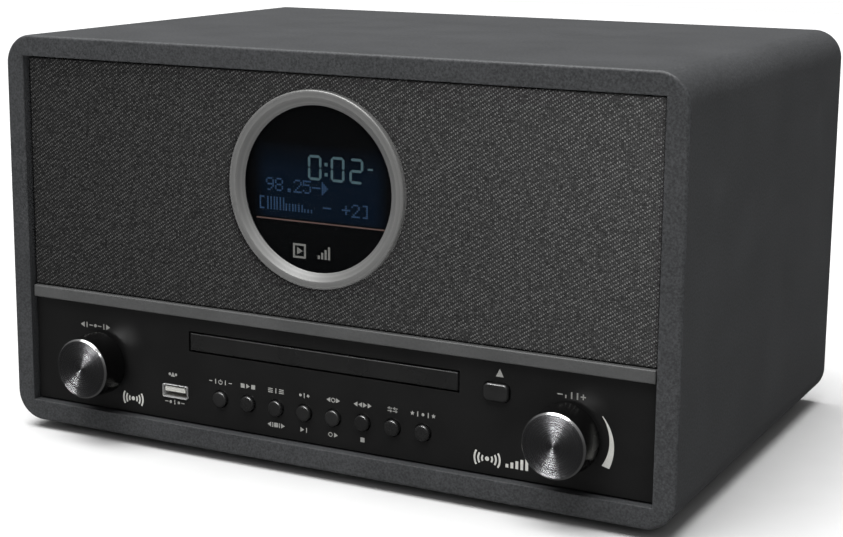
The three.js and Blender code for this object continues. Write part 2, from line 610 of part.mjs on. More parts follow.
// The turntable and its centring cone, just under the disc's hole, on the motor's shaft.
function spindleHub() {
  const { hubRadius, shaft, coneHeight, coneLow, coneHigh, lower, over } = spindle;
  const table = wellFloor - lower - 1;
  const under = loaderFloor + over;
  return turnedUp([[0, motorBearing + gap], [shaft, motorBearing + gap], [shaft, under], [hubRadius, under],
    [hubRadius, table], [coneLow, table], [coneHigh, table + coneHeight], [0, table + coneHeight]], sides.some);
}

function discClamp() {
  const low = loaderTop - gap - clamp.disc;
  const shelf = loaderTop + loader.floor + gap;
  return turnedUp([[0, low], [clamp.radius, low], [clamp.radius, low + clamp.disc], [clamp.neck, low + clamp.disc],
    [clamp.neck, shelf], [clamp.radius, shelf], [clamp.radius, shelf + clamp.shelf], [0, shelf + clamp.shelf]],
  sides.some);
}

const sledY = discY + sled.start;
const rodX = sled.rodIn - sled.width / 2;
const rodZ = loaderFloor + sled.rodUp;
function pickupSled() {
  const [w, l] = [sled.width / 2, sled.length / 2];
  const low = loaderFloor - loader.floor / 2;
  const body = block(-w, w, -l, l, low, low + sled.height);
  const lensTop = post(sled.lens, low + sled.height - 1, wellFloor - sled.lensGap);
  return cut(joined(body, lensTop), rod(sled.rodRadius + gap, -l - 1, l + 1, sides.few).translate(rodX, 0, rodZ));
}

function pickupRod() {
  const half = sled.length / 2 + sled.room;
  return rod(sled.rodRadius, sledY - half, sledY + sled.travel + half, sides.few);
}

const front = [drawer.frontWidth / 2, drawer.frontHeight / 2];
piece("cd_drawer_front", block(-front[0], front[0], drawer.recess, drawer.recess + drawer.frontThickness,
  -front[1], front[1]), panelPlastic, 0, 0, drawerZ);
piece("cd_tray", discTray(), mouldedPlastic);
piece("loading_gear", loadingGear(), nylon, gearX, gear.y, 0);
piece("loading_motor", loadingMotor(), steel, gearX, gear.y, 0);
piece("loader_frame", loaderFrame(), mouldedPlastic);
piece("spindle_motor", spindleMotor(), steel, 0, discY, 0);
piece("spindle_hub", spindleHub(), mouldedPlastic, 0, discY, 0);
piece("disc_clamp", discClamp(), mouldedPlastic, 0, discY, 0);
piece("pickup_sled", pickupSled(), mouldedPlastic, 0, sledY, 0);
piece("pickup_rod", pickupRod(), chrome, rodX, 0, rodZ);

// ---------- circuit boards ----------
// A sheet on four posts.
function boardOnPosts(x0, x1, y0, y1) {
  const z = floorZ + mainBoard.rise;
  const inset = mainBoard.postIn;
  const corners = [x0 + inset, x1 - inset].flatMap((x) => [y0 + inset, y1 - inset].map((y) => [x, y]));
  const posts = corners.map(([x, y]) => post(mainBoard.post, floorZ + gap, z + 0.5, sides.few).translate(x, y, 0));
  return [block(x0, x1, y0, y1, z, z + board.thickness), ...posts];
}

const boardTop = floorZ + mainBoard.rise + board.thickness - board.sink;
function mainCircuit() {
  const m = mainBoard;
  const half = m.width / 2;
  const [y0, y1] = [loader.front + m.front, cabinet.depth - m.fromBack];
  const [processor, tuner] = [m.processor, m.tuner].map(([x0, x1, height]) =>
    block(x0, x1, y0 + m.chipsFrom, y0 + m.chipsFrom + m.chipLength, boardTop, boardTop + height));
  const sinkX = m.sinkInset - half;
  const sinkY = y1 - m.sinkFrom;
  const heatSink = block(sinkX, sinkX + m.sinkLength, sinkY - m.sinkDepth, sinkY, boardTop, boardTop + m.sinkHeight);
  const capacitors = [0, 1, 2].map((i) => post(m.capacitor, boardTop, boardTop + m.capacitorHeight)
    .translate(i * m.capacitorPitch, y1 - m.capacitorFrom, 0));
  return joined(...boardOnPosts(-half, half, y0, y1), processor, tuner, heatSink, ...capacitors);
}

function powerSupply() {
  const { inset, reservoir, reservoirX, reservoirFrom, reservoirDrop } = supply;
  const x1 = innerHalf - supply.fromSide;
  const x0 = Math.max(x1 - supply.width, loaderOuter + gap);
  const y1 = cabinet.depth - supply.fromBack;
  const y0 = y1 - supply.length;
  const [w, l, h] = supply.transformer;
  const transformer = block(x0 + inset, x0 + inset + w, y0 + inset, y0 + inset + l, boardTop, boardTop + h);
  const can = post(reservoir, boardTop, boardTop + h - reservoirDrop);
  return joined(...boardOnPosts(x0, x1, y0, y1), transformer, can.translate(x0 + reservoirX, y1 - reservoirFrom, 0));
}

piece("main_board", mainCircuit(), circuit);
piece("power_supply", powerSupply(), circuit);

// ---------- mains inlet ----------
function powerInlet() {
  const [w, h] = [inlet.width / 2, inlet.height / 2];
  const face = backFace + gap;
  const outer = face + inlet.proud;
  const inset = inlet.flange + gap;
  const flange = block(-w, w, face, outer, -h, h);
  const body = block(-w + inset, w - inset, outer - inlet.depth, face + gap, -h + inset, h - inset);
  const [a, b] = [inlet.socketWidth / 2, inlet.socketHeight / 2];
  const bottom = outer - inlet.socketDepth;
  const mouth = plate(rectangle(-a, a, -b, b, b - 0.01), bottom, outer + 1, 4);
  const pins = [-1, 1].map((side) =>
    rod(inlet.pin, bottom - 1, bottom + inlet.pinLength, sides.few).translate((side * inlet.pinPitch) / 2, 0, 0));
  return joined(cut(joined(flange, body), mouth), ...pins);
}
piece("power_inlet", powerInlet(), mouldedPlastic, inletX, 0, inletZ);

// ---------- rod antenna ----------
// It swivels about the base's axis (Y), tilts about the knuckle's pin (X) and slides out in two sections.
function antennaBase() {
  const { radii, baseRadius, baseRim, knuckle, stand, stud } = antenna;
  const face = backFace + gap;
  return turned([[0, backFace - stud], [radii[0], backFace - stud], [radii[0], face], [baseRadius, face],
    [baseRadius, face + baseRim], [knuckle, backFace + stand], [0, backFace + stand]], sides.some);
}

function antennaKnuckle() {
  const { knuckle, stand, tongue, ear, pin } = antenna;
  const discBack = hingeY - tongue - gap;
  const plateDisc = rod(knuckle, backFace + stand + gap, discBack);
  const inner = ear + gap;
  const ears = [-1, 1].map((side) => {
    const [x0, x1] = side < 0 ? [-inner - ear, -inner] : [inner, inner + ear];
    const arm = block(x0, x1, discBack - 1, hingeY, -tongue, tongue);
    return joined(arm, axle(tongue, x0, x1).translate(0, hingeY, 0));
  });
  return joined(plateDisc, ...ears, axle(pin, -inner - 1, inner + 1, sides.few).translate(0, hingeY, 0));
}

// A tube section hanging down from the hinge: solid at its top, and open at its lower end.
function antennaTube(level) {
  const { radii, wall, length, solid, step, shoulder, tongue, ear, pin } = antenna;
  const r = radii[level];
  const end = -length - (level + 1) * step - tongue;
  const top = level === 0 ? -ear : -tongue - shoulder - level * solid;
  const bottom = -tongue - shoulder - (level + 1) * solid + step;
  const neck = ear - gap / 2;
  const outline = level === 0 ? [[neck, top], [neck, -tongue - gap], [r, -tongue - shoulder]] : [[r, top]];
  const inner = r - wall;
  const tube = turnedUp([[0, top], ...outline, [r, end], [inner, end], [inner, bottom], [0, bottom]], sides.few);
  if (level > 0) return tube;
  const eye = axle(tongue, -ear, ear);
  return cut(joined(eye, tube), axle(pin + gap, -ear - 1, ear + 1, sides.few));
}

function antennaTip() {
  const { radii, length, solid, step, shoulder, tongue, knob: tip, knobLength } = antenna;
  const r = radii[2];
  const top = -tongue - shoulder - 2 * solid;
  const end = -length - 3 * step - tongue;
  return turnedUp([[0, top], [r, top], [r, end], [tip, end], [tip, end - knobLength], [r, end - knobLength - 1],
    [0, end - knobLength - 1]], sides.few);
}

piece("antenna_base", antennaBase(), chrome, antennaX, 0, antennaZ);
piece("antenna_knuckle", antennaKnuckle(), chrome, antennaX, 0, antennaZ);
piece("antenna_outer", antennaTube(0), chrome, antennaX, hingeY, antennaZ);
piece("antenna_middle", antennaTube(1), chrome, antennaX, hingeY, antennaZ);
piece("antenna_tip", antennaTip(), chrome, antennaX, hingeY, antennaZ);

// The origin is at the middle of the underside of everything.
radio.position.y = -(knob.front + hingeY + antenna.tongue) / 2;

export default radio;
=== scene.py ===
import json
import math
import bmesh
import bpy
from mathutils import Matrix, Vector

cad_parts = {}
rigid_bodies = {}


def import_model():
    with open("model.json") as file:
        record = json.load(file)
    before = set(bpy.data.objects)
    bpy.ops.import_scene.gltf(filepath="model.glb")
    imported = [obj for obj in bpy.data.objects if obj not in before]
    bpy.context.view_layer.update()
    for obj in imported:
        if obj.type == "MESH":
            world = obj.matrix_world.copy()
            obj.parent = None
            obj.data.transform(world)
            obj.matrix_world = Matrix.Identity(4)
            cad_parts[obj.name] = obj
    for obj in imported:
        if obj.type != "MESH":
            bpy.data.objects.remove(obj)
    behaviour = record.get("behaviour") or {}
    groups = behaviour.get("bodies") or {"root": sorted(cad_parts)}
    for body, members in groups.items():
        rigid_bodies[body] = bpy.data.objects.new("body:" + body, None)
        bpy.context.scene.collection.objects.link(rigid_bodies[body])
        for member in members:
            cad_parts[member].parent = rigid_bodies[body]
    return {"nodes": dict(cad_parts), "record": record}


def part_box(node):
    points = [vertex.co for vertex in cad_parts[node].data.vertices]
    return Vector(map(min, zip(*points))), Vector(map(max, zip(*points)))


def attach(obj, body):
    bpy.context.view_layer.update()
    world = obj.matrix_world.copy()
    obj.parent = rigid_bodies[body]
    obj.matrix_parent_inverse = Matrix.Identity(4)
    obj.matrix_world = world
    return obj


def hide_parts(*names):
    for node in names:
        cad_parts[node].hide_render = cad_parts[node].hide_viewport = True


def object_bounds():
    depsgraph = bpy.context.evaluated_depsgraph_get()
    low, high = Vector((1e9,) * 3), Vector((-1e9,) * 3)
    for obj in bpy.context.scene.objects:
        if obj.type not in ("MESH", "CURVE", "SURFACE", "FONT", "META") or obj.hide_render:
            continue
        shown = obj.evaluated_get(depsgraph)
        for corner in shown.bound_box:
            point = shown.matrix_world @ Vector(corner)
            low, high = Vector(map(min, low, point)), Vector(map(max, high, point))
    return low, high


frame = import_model()
cadBounds = [list(corner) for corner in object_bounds()]
scene = bpy.context.scene
mm = 0.001
print("frame loaded:", len(frame["nodes"]), "nodes")


# A wire is an output socket that arithmetic can be done on.
class Wire:
    def __init__(self, graph, socket):
        self.graph, self.socket = graph, socket

    def op(self, operation, *others):
        return self.graph.maths(operation, self, *others)

    def __add__(self, other):
        return self.op("ADD", other)

    def __sub__(self, other):
        return self.op("SUBTRACT", other)

    def __rsub__(self, other):
        return self.graph.maths("SUBTRACT", other, self)

    def __mul__(self, other):
        return self.op("MULTIPLY", other)

    def __truediv__(self, other):
        return self.op("DIVIDE", other)

    __radd__ = __add__
    __rmul__ = __mul__


class Graph:
    def __init__(self, tree):
        self.tree = tree

    def maths(self, operation, *values):
        return self.node("ShaderNodeMath", {"operation": operation}, dict(enumerate(values)))

    def vector(self, operation, *values):
        return self.node("ShaderNodeVectorMath", {"operation": operation}, dict(enumerate(values)))

    def feed(self, socket, value):
        if isinstance(value, Wire):
            self.tree.links.new(value.socket, socket)
        else:
            socket.default_value = value

    def node(self, kind, settings=None, inputs=None, output=0):
        made = self.tree.nodes.new(kind)
        for key, value in (settings or {}).items():
            setattr(made, key, value)
        for key, value in (inputs or {}).items():
            self.feed(made.inputs[key], value)
        return Wire(self, made.outputs[output])


class Finish(Graph):  # one Principled material
    def __init__(self, name):
        self.material = bpy.data.materials.new(name)
        self.material.use_nodes = True
        super().__init__(self.material.node_tree)
        self.tree.nodes.clear()
        self.shader = self.tree.nodes.new("ShaderNodeBsdfPrincipled")
        end = self.tree.nodes.new("ShaderNodeOutputMaterial")
        self.tree.links.new(self.shader.outputs[0], end.inputs["Surface"])
        self.where = self.node("ShaderNodeTexCoord", output="Object")

    def noise(self, scale, detail=2.0, where=None, size="3D"):
        inputs = {"Scale": scale, "Detail": detail, "Roughness": 0.55}
        inputs["W" if size == "1D" else "Vector"] = where or self.where
        return self.node("ShaderNodeTexNoise", {"noise_dimensions": size}, inputs)

    def span(self, value, low, high, first=0.0, last=1.0):
        return self.node("ShaderNodeMapRange", None, {0: value, 1: low, 2: high, 3: first, 4: last})

    def blend(self, amount, first, second):
        return self.node("ShaderNodeMix", {"data_type": "RGBA"}, {0: amount, 6: first, 7: second}, 2)

    def axes(self, where=None):
        split = self.node("ShaderNodeSeparateXYZ", None, {0: where or self.where}).socket.node
        return [Wire(self, out) for out in split.outputs]

    def bump(self, height, depth, strength=1.0):
        return self.node("ShaderNodeBump", None, {"Height": height, "Distance": depth, "Strength": strength})

    def done(self, sockets):
        for name, value in sockets.items():
            self.feed(self.shader.inputs[name], value)
        return self.material


def tone(red, green=None, blue=None):
    return (red, red if green is None else green, red if blue is None else blue, 1.0)


# Moulded, cast and turned finishes differ only in these numbers.
def plainFinish(name, dark, light, rough=(0.4, 0.5), grain=900.0, cloud=40.0, relief=0.02, metal=0.0,
                extra=None):
    finish = Finish(name)
    fine, wide = finish.noise(grain), finish.noise(cloud, 3.0)
    shade = finish.span(fine * 0.5 + wide * 0.5, 0.36, 0.64)
    look = {"Base Color": finish.blend(shade, dark, light), "Metallic": metal,
            "Roughness": finish.span(wide, 0.35, 0.65, *rough), "Normal": finish.bump(fine, relief * mm)}
    return finish.done({**look, **(extra or {})})


def wrapFinish():
    look = {"dark": tone(0.028, 0.0295, 0.031), "light": tone(0.066, 0.068, 0.0715), "mottle": 1000.0,
            "pore": 3800.0, "cloud": 30.0, "rough": (0.47, 0.53), "relief": 0.05}
    finish = Finish("cabinetWrap")
    mottle = finish.noise(look["mottle"], 3.0)
    pore = finish.noise(look["pore"])
    cloud = finish.noise(look["cloud"], 4.0)
    shade = finish.span(mottle * 0.65 + pore * 0.2 + cloud * 0.15, 0.38, 0.62)
    return finish.done({
        "Base Color": finish.blend(shade, look["dark"], look["light"]),
        "Roughness": finish.span(cloud, 0.3, 0.7, *look["rough"]), "Specular IOR Level": 0.35,
        "Normal": finish.bump(mottle * 0.7 + pore * 0.3, look["relief"] * mm)})


# A one over two twill: each thread is a rounded ridge, and the warp shows lighter where it passes over. The
# colour also holds painted shade, darkening towards the gap tone in the grooves between threads.
def clothFinish():
    look = {"wide": 0.95, "tall": 0.6, "repeat": 3.0, "dark": tone(0.004), "weft": tone(0.016),
            "warp": tone(0.048, 0.048, 0.047), "relief": 0.1}
    finish = Finish("grilleCloth")
    x, _, z = finish.axes()
    across, up = x / (look["wide"] * mm), z / (look["tall"] * mm)
    column, row = across.op("FLOOR"), up.op("FLOOR")
    step = (column - row + 3000.0).op("MODULO", look["repeat"])
    over = step.op("LESS_THAN", 0.5)
    warp = (across.op("FRACT") * math.pi).op("SINE")
    weft = (up.op("FRACT") * math.pi).op("SINE")
    height = over * warp + (1 - over) * weft * 0.7
    cell = finish.node("ShaderNodeCombineXYZ", None, {0: column, 1: row})
    along = finish.node("ShaderNodeCombineXYZ", None, {0: column * 0.37, 1: row * 0.37})
    speck = finish.node("ShaderNodeTexWhiteNoise", {"noise_dimensions": "2D"}, {"Vector": cell}, "Value")
    slub = finish.span(finish.noise(1.0, 1.0, along) * 0.5 + speck * 0.5, 0.2, 0.8, 0.25, 1.35)
    thread = finish.blend(over, look["weft"], look["warp"])
    # painted shade: each thread's colour fades to the dark gap tone where its ridge dips into the grooves;
    # the random slub tone scales it too
    grooveShadeAndSlub = finish.span(height * slub, 0.15, 1.0)
    return finish.done({
        "Base Color": finish.blend(grooveShadeAndSlub, look["dark"], thread), "Roughness": 0.6, "Specular IOR Level": 0.15,
        "Normal": finish.bump(height * slub, look["relief"] * mm, 0.7)})


# Metal spun on a lathe: the normal leans in and out from the centre, ring by ring.
def spunFinish(name, x, z, dark, light, lean, rough, rings, metal=1.0):
    finish = Finish(name)
    px, _, pz = finish.axes()
    dx, dz = px - x * mm, pz - z * mm
    reach = (dx * dx + dz * dz).op("SQRT") + 1e-6
    ring = finish.noise(rings / mm, 3.0, reach, "1D")
    wide = finish.noise(rings / mm / 12, 1.0, reach, "1D")
    tilt = (ring - 0.5) * lean / reach
    out = finish.node("ShaderNodeCombineXYZ", None, {0: dx * tilt, 2: dz * tilt})
    out = finish.node("ShaderNodeVectorTransform", {"vector_type": "VECTOR", "convert_from": "OBJECT",
                                                   "convert_to": "WORLD"}, {0: out})
    normal = finish.node("ShaderNodeNewGeometry", output="Normal")
    leaning = finish.vector("NORMALIZE", finish.vector("ADD", normal, out))
    return finish.done({
        "Base Color": finish.blend(finish.span(wide, 0.35, 0.65), dark, light), "Metallic": metal,
        "Roughness": finish.span(ring, 0.3, 0.7, *rough), "Normal": leaning})


def circuitFinish():
    look = {"board": tone(0.008, 0.05, 0.026), "track": tone(0.02, 0.1, 0.05), "pitch": 2.6}
    finish = Finish("circuitBoard")
    x, y, _ = finish.axes()
    a, b = (x / (look["pitch"] * mm)).op("FRACT"), ((x + y * 0.5) / (look["pitch"] * 3 * mm)).op("FRACT")
    track = (a.op("LESS_THAN", 0.3) + b.op("LESS_THAN", 0.12)).op("MINIMUM", 1.0)
    grain = finish.noise(700.0)
    return finish.done({
        "Base Color": finish.blend(track * finish.span(grain, 0.3, 0.6), look["board"], look["track"]),
        "Roughness": finish.span(grain, 0.3, 0.7, 0.3, 0.5),
        "Normal": finish.bump(track + grain * 0.2, 0.05 * mm)})


def lightFinish(name, colour, power, grain=1400.0):
    finish = Finish(name)
    patch = finish.span(finish.noise(grain), 0.3, 0.7, 0.75, 1.1)
    glow = finish.vector("SCALE", colour[:3])
    finish.feed(glow.socket.node.inputs["Scale"], patch)
    return finish.done({
        "Base Color": tone(0.01), "Roughness": 0.4, "Emission Color": glow, "Emission Strength": power})


# The display's backlit area: blue glow behind the figures, fading to black at its edges.
def glowFinish(x, z):
    look = {"glow": tone(0.0022, 0.0085, 0.021), "width": 34.0, "low": -15.0, "high": 20.0, "soft": 7.0}
    finish = Finish("displayGlow")
    px, _, pz = finish.axes()
    side, rise = (px - x * mm).op("ABSOLUTE"), pz - z * mm
    inside = finish.span(side, look["width"] * mm, (look["width"] - look["soft"]) * mm)
    under = finish.span(rise, look["high"] * mm, (look["high"] - 2 * look["soft"]) * mm)
    over = finish.span(rise, look["low"] * mm, (look["low"] + 1.2) * mm)
    cells = finish.span(finish.noise(1800.0, 1.0), 0.3, 0.7, 0.8, 1.15)
    colour = finish.blend(inside * under * over * cells, tone(0.0009, 0.001, 0.0012), look["glow"])
    return finish.done({"Base Color": tone(0.004), "Roughness": 0.5, "Specular IOR Level": 0.1,
                        "Emission Color": colour, "Emission Strength": 1.0})


finishes = {
    "cabinet_wrap": wrapFinish(),
    "grille_fabric": clothFinish(),
    "rubber": plainFinish("footRubber", tone(0.012), tone(0.024), (0.75, 0.9), 1200.0, relief=0.06),
    "fibreboard": plainFinish("rawFibreboard", tone(0.24, 0.155, 0.08), tone(0.42, 0.29, 0.17), (0.8, 0.95),
                              650.0, relief=0.12),
    "panel_plastic": plainFinish("panelBlack", tone(0.0085), tone(0.0115), (0.3, 0.4), 1500.0, relief=0.006,
                                 extra={"Specular IOR Level": 0.3}),
    "moulded_plastic": plainFinish("mouldedBlack", tone(0.014), tone(0.021), (0.42, 0.55), 1300.0,
                                   relief=0.03, extra={"Specular IOR Level": 0.3}),
    "grey_plastic": plainFinish("trimGrey", tone(0.068, 0.069, 0.069), tone(0.088, 0.089, 0.089),
                                (0.36, 0.46), 1600.0, relief=0.012, extra={"Specular IOR Level": 0.4}),
    "steel": plainFinish("brightSteel", tone(0.5), tone(0.62), (0.24, 0.38), 500.0, relief=0.01, metal=1.0),
    "chrome": plainFinish("chromePlate", tone(0.72), tone(0.82), (0.06, 0.14), 120.0, relief=0.002,
                          metal=1.0),
    "circuit": circuitFinish(),
    "nylon": plainFinish("whiteNylon", tone(0.68, 0.66, 0.58), tone(0.78, 0.76, 0.69), (0.4, 0.5), 500.0),
    "ferrite": plainFinish("ferrite", tone(0.018), tone(0.034), (0.55, 0.7), 900.0, relief=0.06),
    "cone_paper": plainFinish("conePaper", tone(0.012), tone(0.024), (0.75, 0.9), 600.0, relief=0.12),
    "display_glass": plainFinish("displayBody", tone(0.004, 0.006, 0.012), tone(0.006, 0.01, 0.02),
                                 (0.2, 0.3)),
}
inkWhite = plainFinish("printedWhite", tone(0.5, 0.5, 0.47), tone(0.66, 0.66, 0.62), (0.5, 0.6), 2500.0,
                       relief=0.004)
inkGrey = plainFinish("printedGrey", tone(0.27, 0.27, 0.26), tone(0.36, 0.36, 0.34), (0.5, 0.6), 2500.0,
                      relief=0.004)
print("finishes made")

# Pieces are drawn in millimetres from the cabinet's front edge, then moved to the frame.
origin = Vector((0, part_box("cabinet")[0].y, 0))
toFrame = Matrix.Translation(origin) @ Matrix.Scale(mm, 4)


def corners(node):
    return [(corner - origin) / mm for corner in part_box(node)]


def middle(node):
    low, high = corners(node)
    return (low + high) / 2


def joinLoops(bm, first, second):
    if len(first) == 1 or len(second) == 1:
        tip, rim = (first[0], second) if len(first) == 1 else (second[0], first)
        for a, b in zip(rim, rim[1:] + rim[:1]):
            bm.faces.new((tip, a, b))
        return
    for a, b, c, d in zip(first, first[1:] + first[:1], second[1:] + second[:1], second):
        bm.faces.new((a, b, c, d))


# Round corners for an outline of (a, b) or (a, b, radius) points.
def eased(points, closed=False, steps=4):
    out = []
    for i, (a, b, *radius) in enumerate(points):
        here = Vector((a, b))
        if not radius or (not closed and i in (0, len(points) - 1)):
            out.append((a, b))
            continue
        back = (Vector(points[i - 1][:2]) - here).normalized()
        ahead = (Vector(points[(i + 1) % len(points)][:2]) - here).normalized()
        half = back.angle(ahead) / 2
        centre = here + (back + ahead).normalized() * radius[0] / math.sin(half)
        start, end = (here + way * radius[0] / math.tan(half) - centre for way in (back, ahead))
        turn = start.angle_signed(end)
        out += [tuple(centre + Matrix.Rotation(-turn * k / steps, 2) @ start) for k in range(steps + 1)]
    return out


# A profile of (radius, distance) points turned about a line along Y, or along Z if upright.
def turned(bm, profile, place, segments=96, upright=False):
    loops = []
    for radius, along in profile:
        count = segments if radius > 1e-6 else 1
        turns = [2 * math.pi * k / segments for k in range(count)]
        flat = [(radius * math.cos(t), radius * math.sin(t)) for t in turns]
        loops.append([bm.verts.new(Vector(place) + Vector((a, b, along) if upright else (a, along, b)))
                      for a, b in flat])
    for first, second in zip(loops, loops[1:]):
        joinLoops(bm, first, second)
    if profile[0][0] > 1e-6:
        joinLoops(bm, loops[-1], loops[0])


def roundedLoop(x, z, halfWidth, halfHeight, radius=0.0, steps=8):
    points = []
    for k, (sx, sz) in enumerate(((1, 1), (-1, 1), (-1, -1), (1, -1))):
        for i in range(steps + 1):
            turn = (k + i / steps) * math.pi / 2
            points.append((x + sx * (halfWidth - radius) + radius * math.cos(turn),
                           z + sz * (halfHeight - radius) + radius * math.sin(turn)))
    return points


# Rounded rectangles at stations (y, halfWidth, halfHeight, radius) along Y, joined one to the next.
def lofted(bm, x, z, stations, ring=False, steps=8):
    loops = []
    for y, w, h, r in stations:
        outline = roundedLoop(x, z, w, h, r, steps)
        loops.append([bm.verts.new((px, y, pz)) for px, pz in outline])
    for first, second in zip(loops, loops[1:]):
        joinLoops(bm, first, second)
    if ring:
        joinLoops(bm, loops[-1], loops[0])
    else:
        bm.faces.new(loops[0])
        bm.faces.new(loops[-1])


# The stations of a bar between two corners whose front and back edges are rounded.
def barStations(y0, y1, w, h, radius, ease, steps=4):
    arc = [k / steps * math.pi / 2 for k in range(steps + 1)]
    inset = [(ease * (1 - math.sin(a)), ease * (1 - math.cos(a))) for a in arc]
    front = [(y0 + far, w - less, h - less, max(radius - less, 0)) for less, far in inset]
    return front + [(y0 + y1 - y, a, b, r) for y, a, b, r in reversed(front)]


# A flat plate with holes from outlines in X and Z, with its edges broken.
def plateMesh(name, outlines, front, back, ease=0.2, fine=1):
    curve = bpy.data.curves.new(name, "CURVE")
    curve.dimensions, curve.fill_mode = "2D", "BOTH"
    curve.extrude = (back - front) / 2 - ease
    curve.bevel_depth, curve.bevel_resolution, curve.offset = ease, fine, -ease
    for outline in outlines:
        spline = curve.splines.new("POLY")
        spline.points.add(len(outline) - 1)
        for point, (x, z) in zip(spline.points, outline):
            point.co = (x, z, 0, 1)
        spline.use_cyclic_u = True
    holder = bpy.data.objects.new(name, curve)
    scene.collection.objects.link(holder)
    mesh = bpy.data.meshes.new_from_object(holder.evaluated_get(bpy.context.evaluated_depsgraph_get()))
    bpy.data.objects.remove(holder)
    bpy.data.curves.remove(curve)
    mesh.transform(Matrix.Translation((0, (front + back) / 2, 0)) @ Matrix.Rotation(math.pi / 2, 4, "X"))
    bm = bmesh.new()
    bm.from_mesh(mesh)
    bpy.data.meshes.remove(mesh)
    return bm


def circleLoop(x, z, radius, sides=48):
    turns = [2 * math.pi * k / sides for k in range(sides)]
    return [(x + radius * math.cos(t), z + radius * math.sin(t)) for t in turns]


def finishPiece(name, mesh, materials, slot, body, replaces, sharp):
    for material in materials:
        mesh.materials.append(material)
    mesh.shade_smooth()
    mesh.set_sharp_from_angle(angle=math.radians(sharp))
    piece = bpy.data.objects.new(name, mesh)
    scene.collection.objects.link(piece)
    even = piece.modifiers.new("evenShading", "WEIGHTED_NORMAL")
    even.keep_sharp, even.weight = True, 80
    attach(piece, body)
    if replaces:
        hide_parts(*replaces)
    return piece


# materials is a list, and with several of them rule picks one by a face's centre and direction.
def addPiece(name, bm, slot, replaces=(), body="radio", materials=None, rule=None, sharp=40):
    bmesh.ops.remove_doubles(bm, verts=bm.verts, dist=1e-4)
    bmesh.ops.recalc_face_normals(bm, faces=bm.faces)
    if rule:
        for face in bm.faces:
            face.material_index = rule(face.calc_center_median(), face.normal)
    mesh = bpy.data.meshes.new(name)
    bm.transform(toFrame)
    bm.to_mesh(mesh)
    bm.free()
    return finishPiece(name, mesh, materials or [finishes[slot]], slot, body, replaces, sharp)


class Tree(Graph):
    def __init__(self, name, sizes):
        super().__init__(bpy.data.node_groups.new(name, "GeometryNodeTree"))
        kinds = {float: "NodeSocketFloat", int: "NodeSocketInt", tuple: "NodeSocketVector"}
        face = self.tree.interface
        face.new_socket(name="Geometry", in_out="INPUT", socket_type="NodeSocketGeometry")
        for key, value in sizes.items():
            face.new_socket(name=key, in_out="INPUT", socket_type=kinds[type(value)])
        face.new_socket(name="Geometry", in_out="OUTPUT", socket_type="NodeSocketGeometry")
        self.way = {item.name: item.identifier for item in face.items_tree if item.in_out == "INPUT"}
        self.entry = self.tree.nodes.new("NodeGroupInput")
        self.sizes = sizes

    def size(self, name):
        return Wire(self, self.entry.outputs[name])

    # Discs stacked along Z and joined: rings of (radius, height), from the lowest up.
    def stack(self, rings, sides):
        (radius, height), *rest = rings
        disc = self.node("GeometryNodeMeshCircle", {"fill_type": "NGON"},
                         {"Vertices": sides, "Radius": radius})
        start = self.node("GeometryNodeTransform", None, {0: disc, "Translation": self.upward(height)})
        shape, top = start, None
        for nextRadius, nextHeight in rest:
            inputs = {"Mesh": shape, "Offset": self.upward(nextHeight - height), "Offset Scale": 1.0,
                      "Individual": False}
            if top:
                inputs["Selection"] = top
            shape = self.node("GeometryNodeExtrudeMesh", None, inputs)
            top = Wire(self, shape.socket.node.outputs["Top"])
            growth = self.maths("DIVIDE", nextRadius, radius)
            shape = self.node("GeometryNodeScaleElements", None,
                              {"Geometry": shape, "Selection": top, "Scale": growth})
            radius, height = nextRadius, nextHeight
        under = self.node("GeometryNodeFlipFaces", None, {0: start})
        whole = self.node("GeometryNodeJoinGeometry", None, {0: shape})
        self.tree.links.new(under.socket, whole.socket.node.inputs[0])
        return self.node("GeometryNodeMergeByDistance", None, {0: whole, "Distance": 1e-4})

    def upward(self, height):
        return self.node("ShaderNodeCombineXYZ", None, {2: height})

    def scatter(self, shape, rotation=None):
        inputs = {"Points": self.size("Geometry"), "Instance": shape}
        if rotation:
            inputs["Rotation"] = rotation
        return self.node("GeometryNodeInstanceOnPoints", None, inputs)

    # Ends the tree, grows it on the given points and adds the plain mesh as a piece.
    def grow(self, name, shape, points, slot, material=None, sharp=40, **riding):
        real = self.node("GeometryNodeRealizeInstances", None, {0: shape})
        painted = self.node("GeometryNodeSetMaterial", None,
                            {0: real, "Material": material or finishes[slot]})
        end = self.tree.nodes.new("NodeGroupOutput")
        self.tree.links.new(painted.socket, end.inputs[0])
        return self.plant(name, points, slot, material, sharp, **riding)

    def plant(self, name, points, slot, material=None, sharp=40, sizes=None, replaces=(), body="radio"):
        seedling = bpy.data.objects.new(name, bpy.data.meshes.new(name))
        seedling.data.from_pydata(points, [], [])
        scene.collection.objects.link(seedling)
        modifier = seedling.modifiers.new(name, "NODES")
        modifier.node_group = self.tree
        for key, value in {**self.sizes, **(sizes or {})}.items():
            modifier[self.way[key]] = value
        grown = seedling.evaluated_get(bpy.context.evaluated_depsgraph_get())
        mesh = bpy.data.meshes.new_from_object(grown)
        seedling.modifiers.clear()
        bpy.data.objects.remove(seedling)
        mesh.materials.clear()
        mesh.transform(toFrame)
        mesh.name = name
        return finishPiece(name, mesh, [material or finishes[slot]], slot, body, replaces, sharp)


facing = (math.pi / 2, 0.0, 0.0)  # turns a stack's top to the front
print("tools ready")

cabinetSizes = {"radius": 14.0, "wall": 10.0, "arris": 1.5, "mouthArris": 0.6, "rebate": 5.0,
                "rebateDepth": 4.0, "block": 15.0, "blockLength": 30.0, "sink": 0.5, "steps": 14}


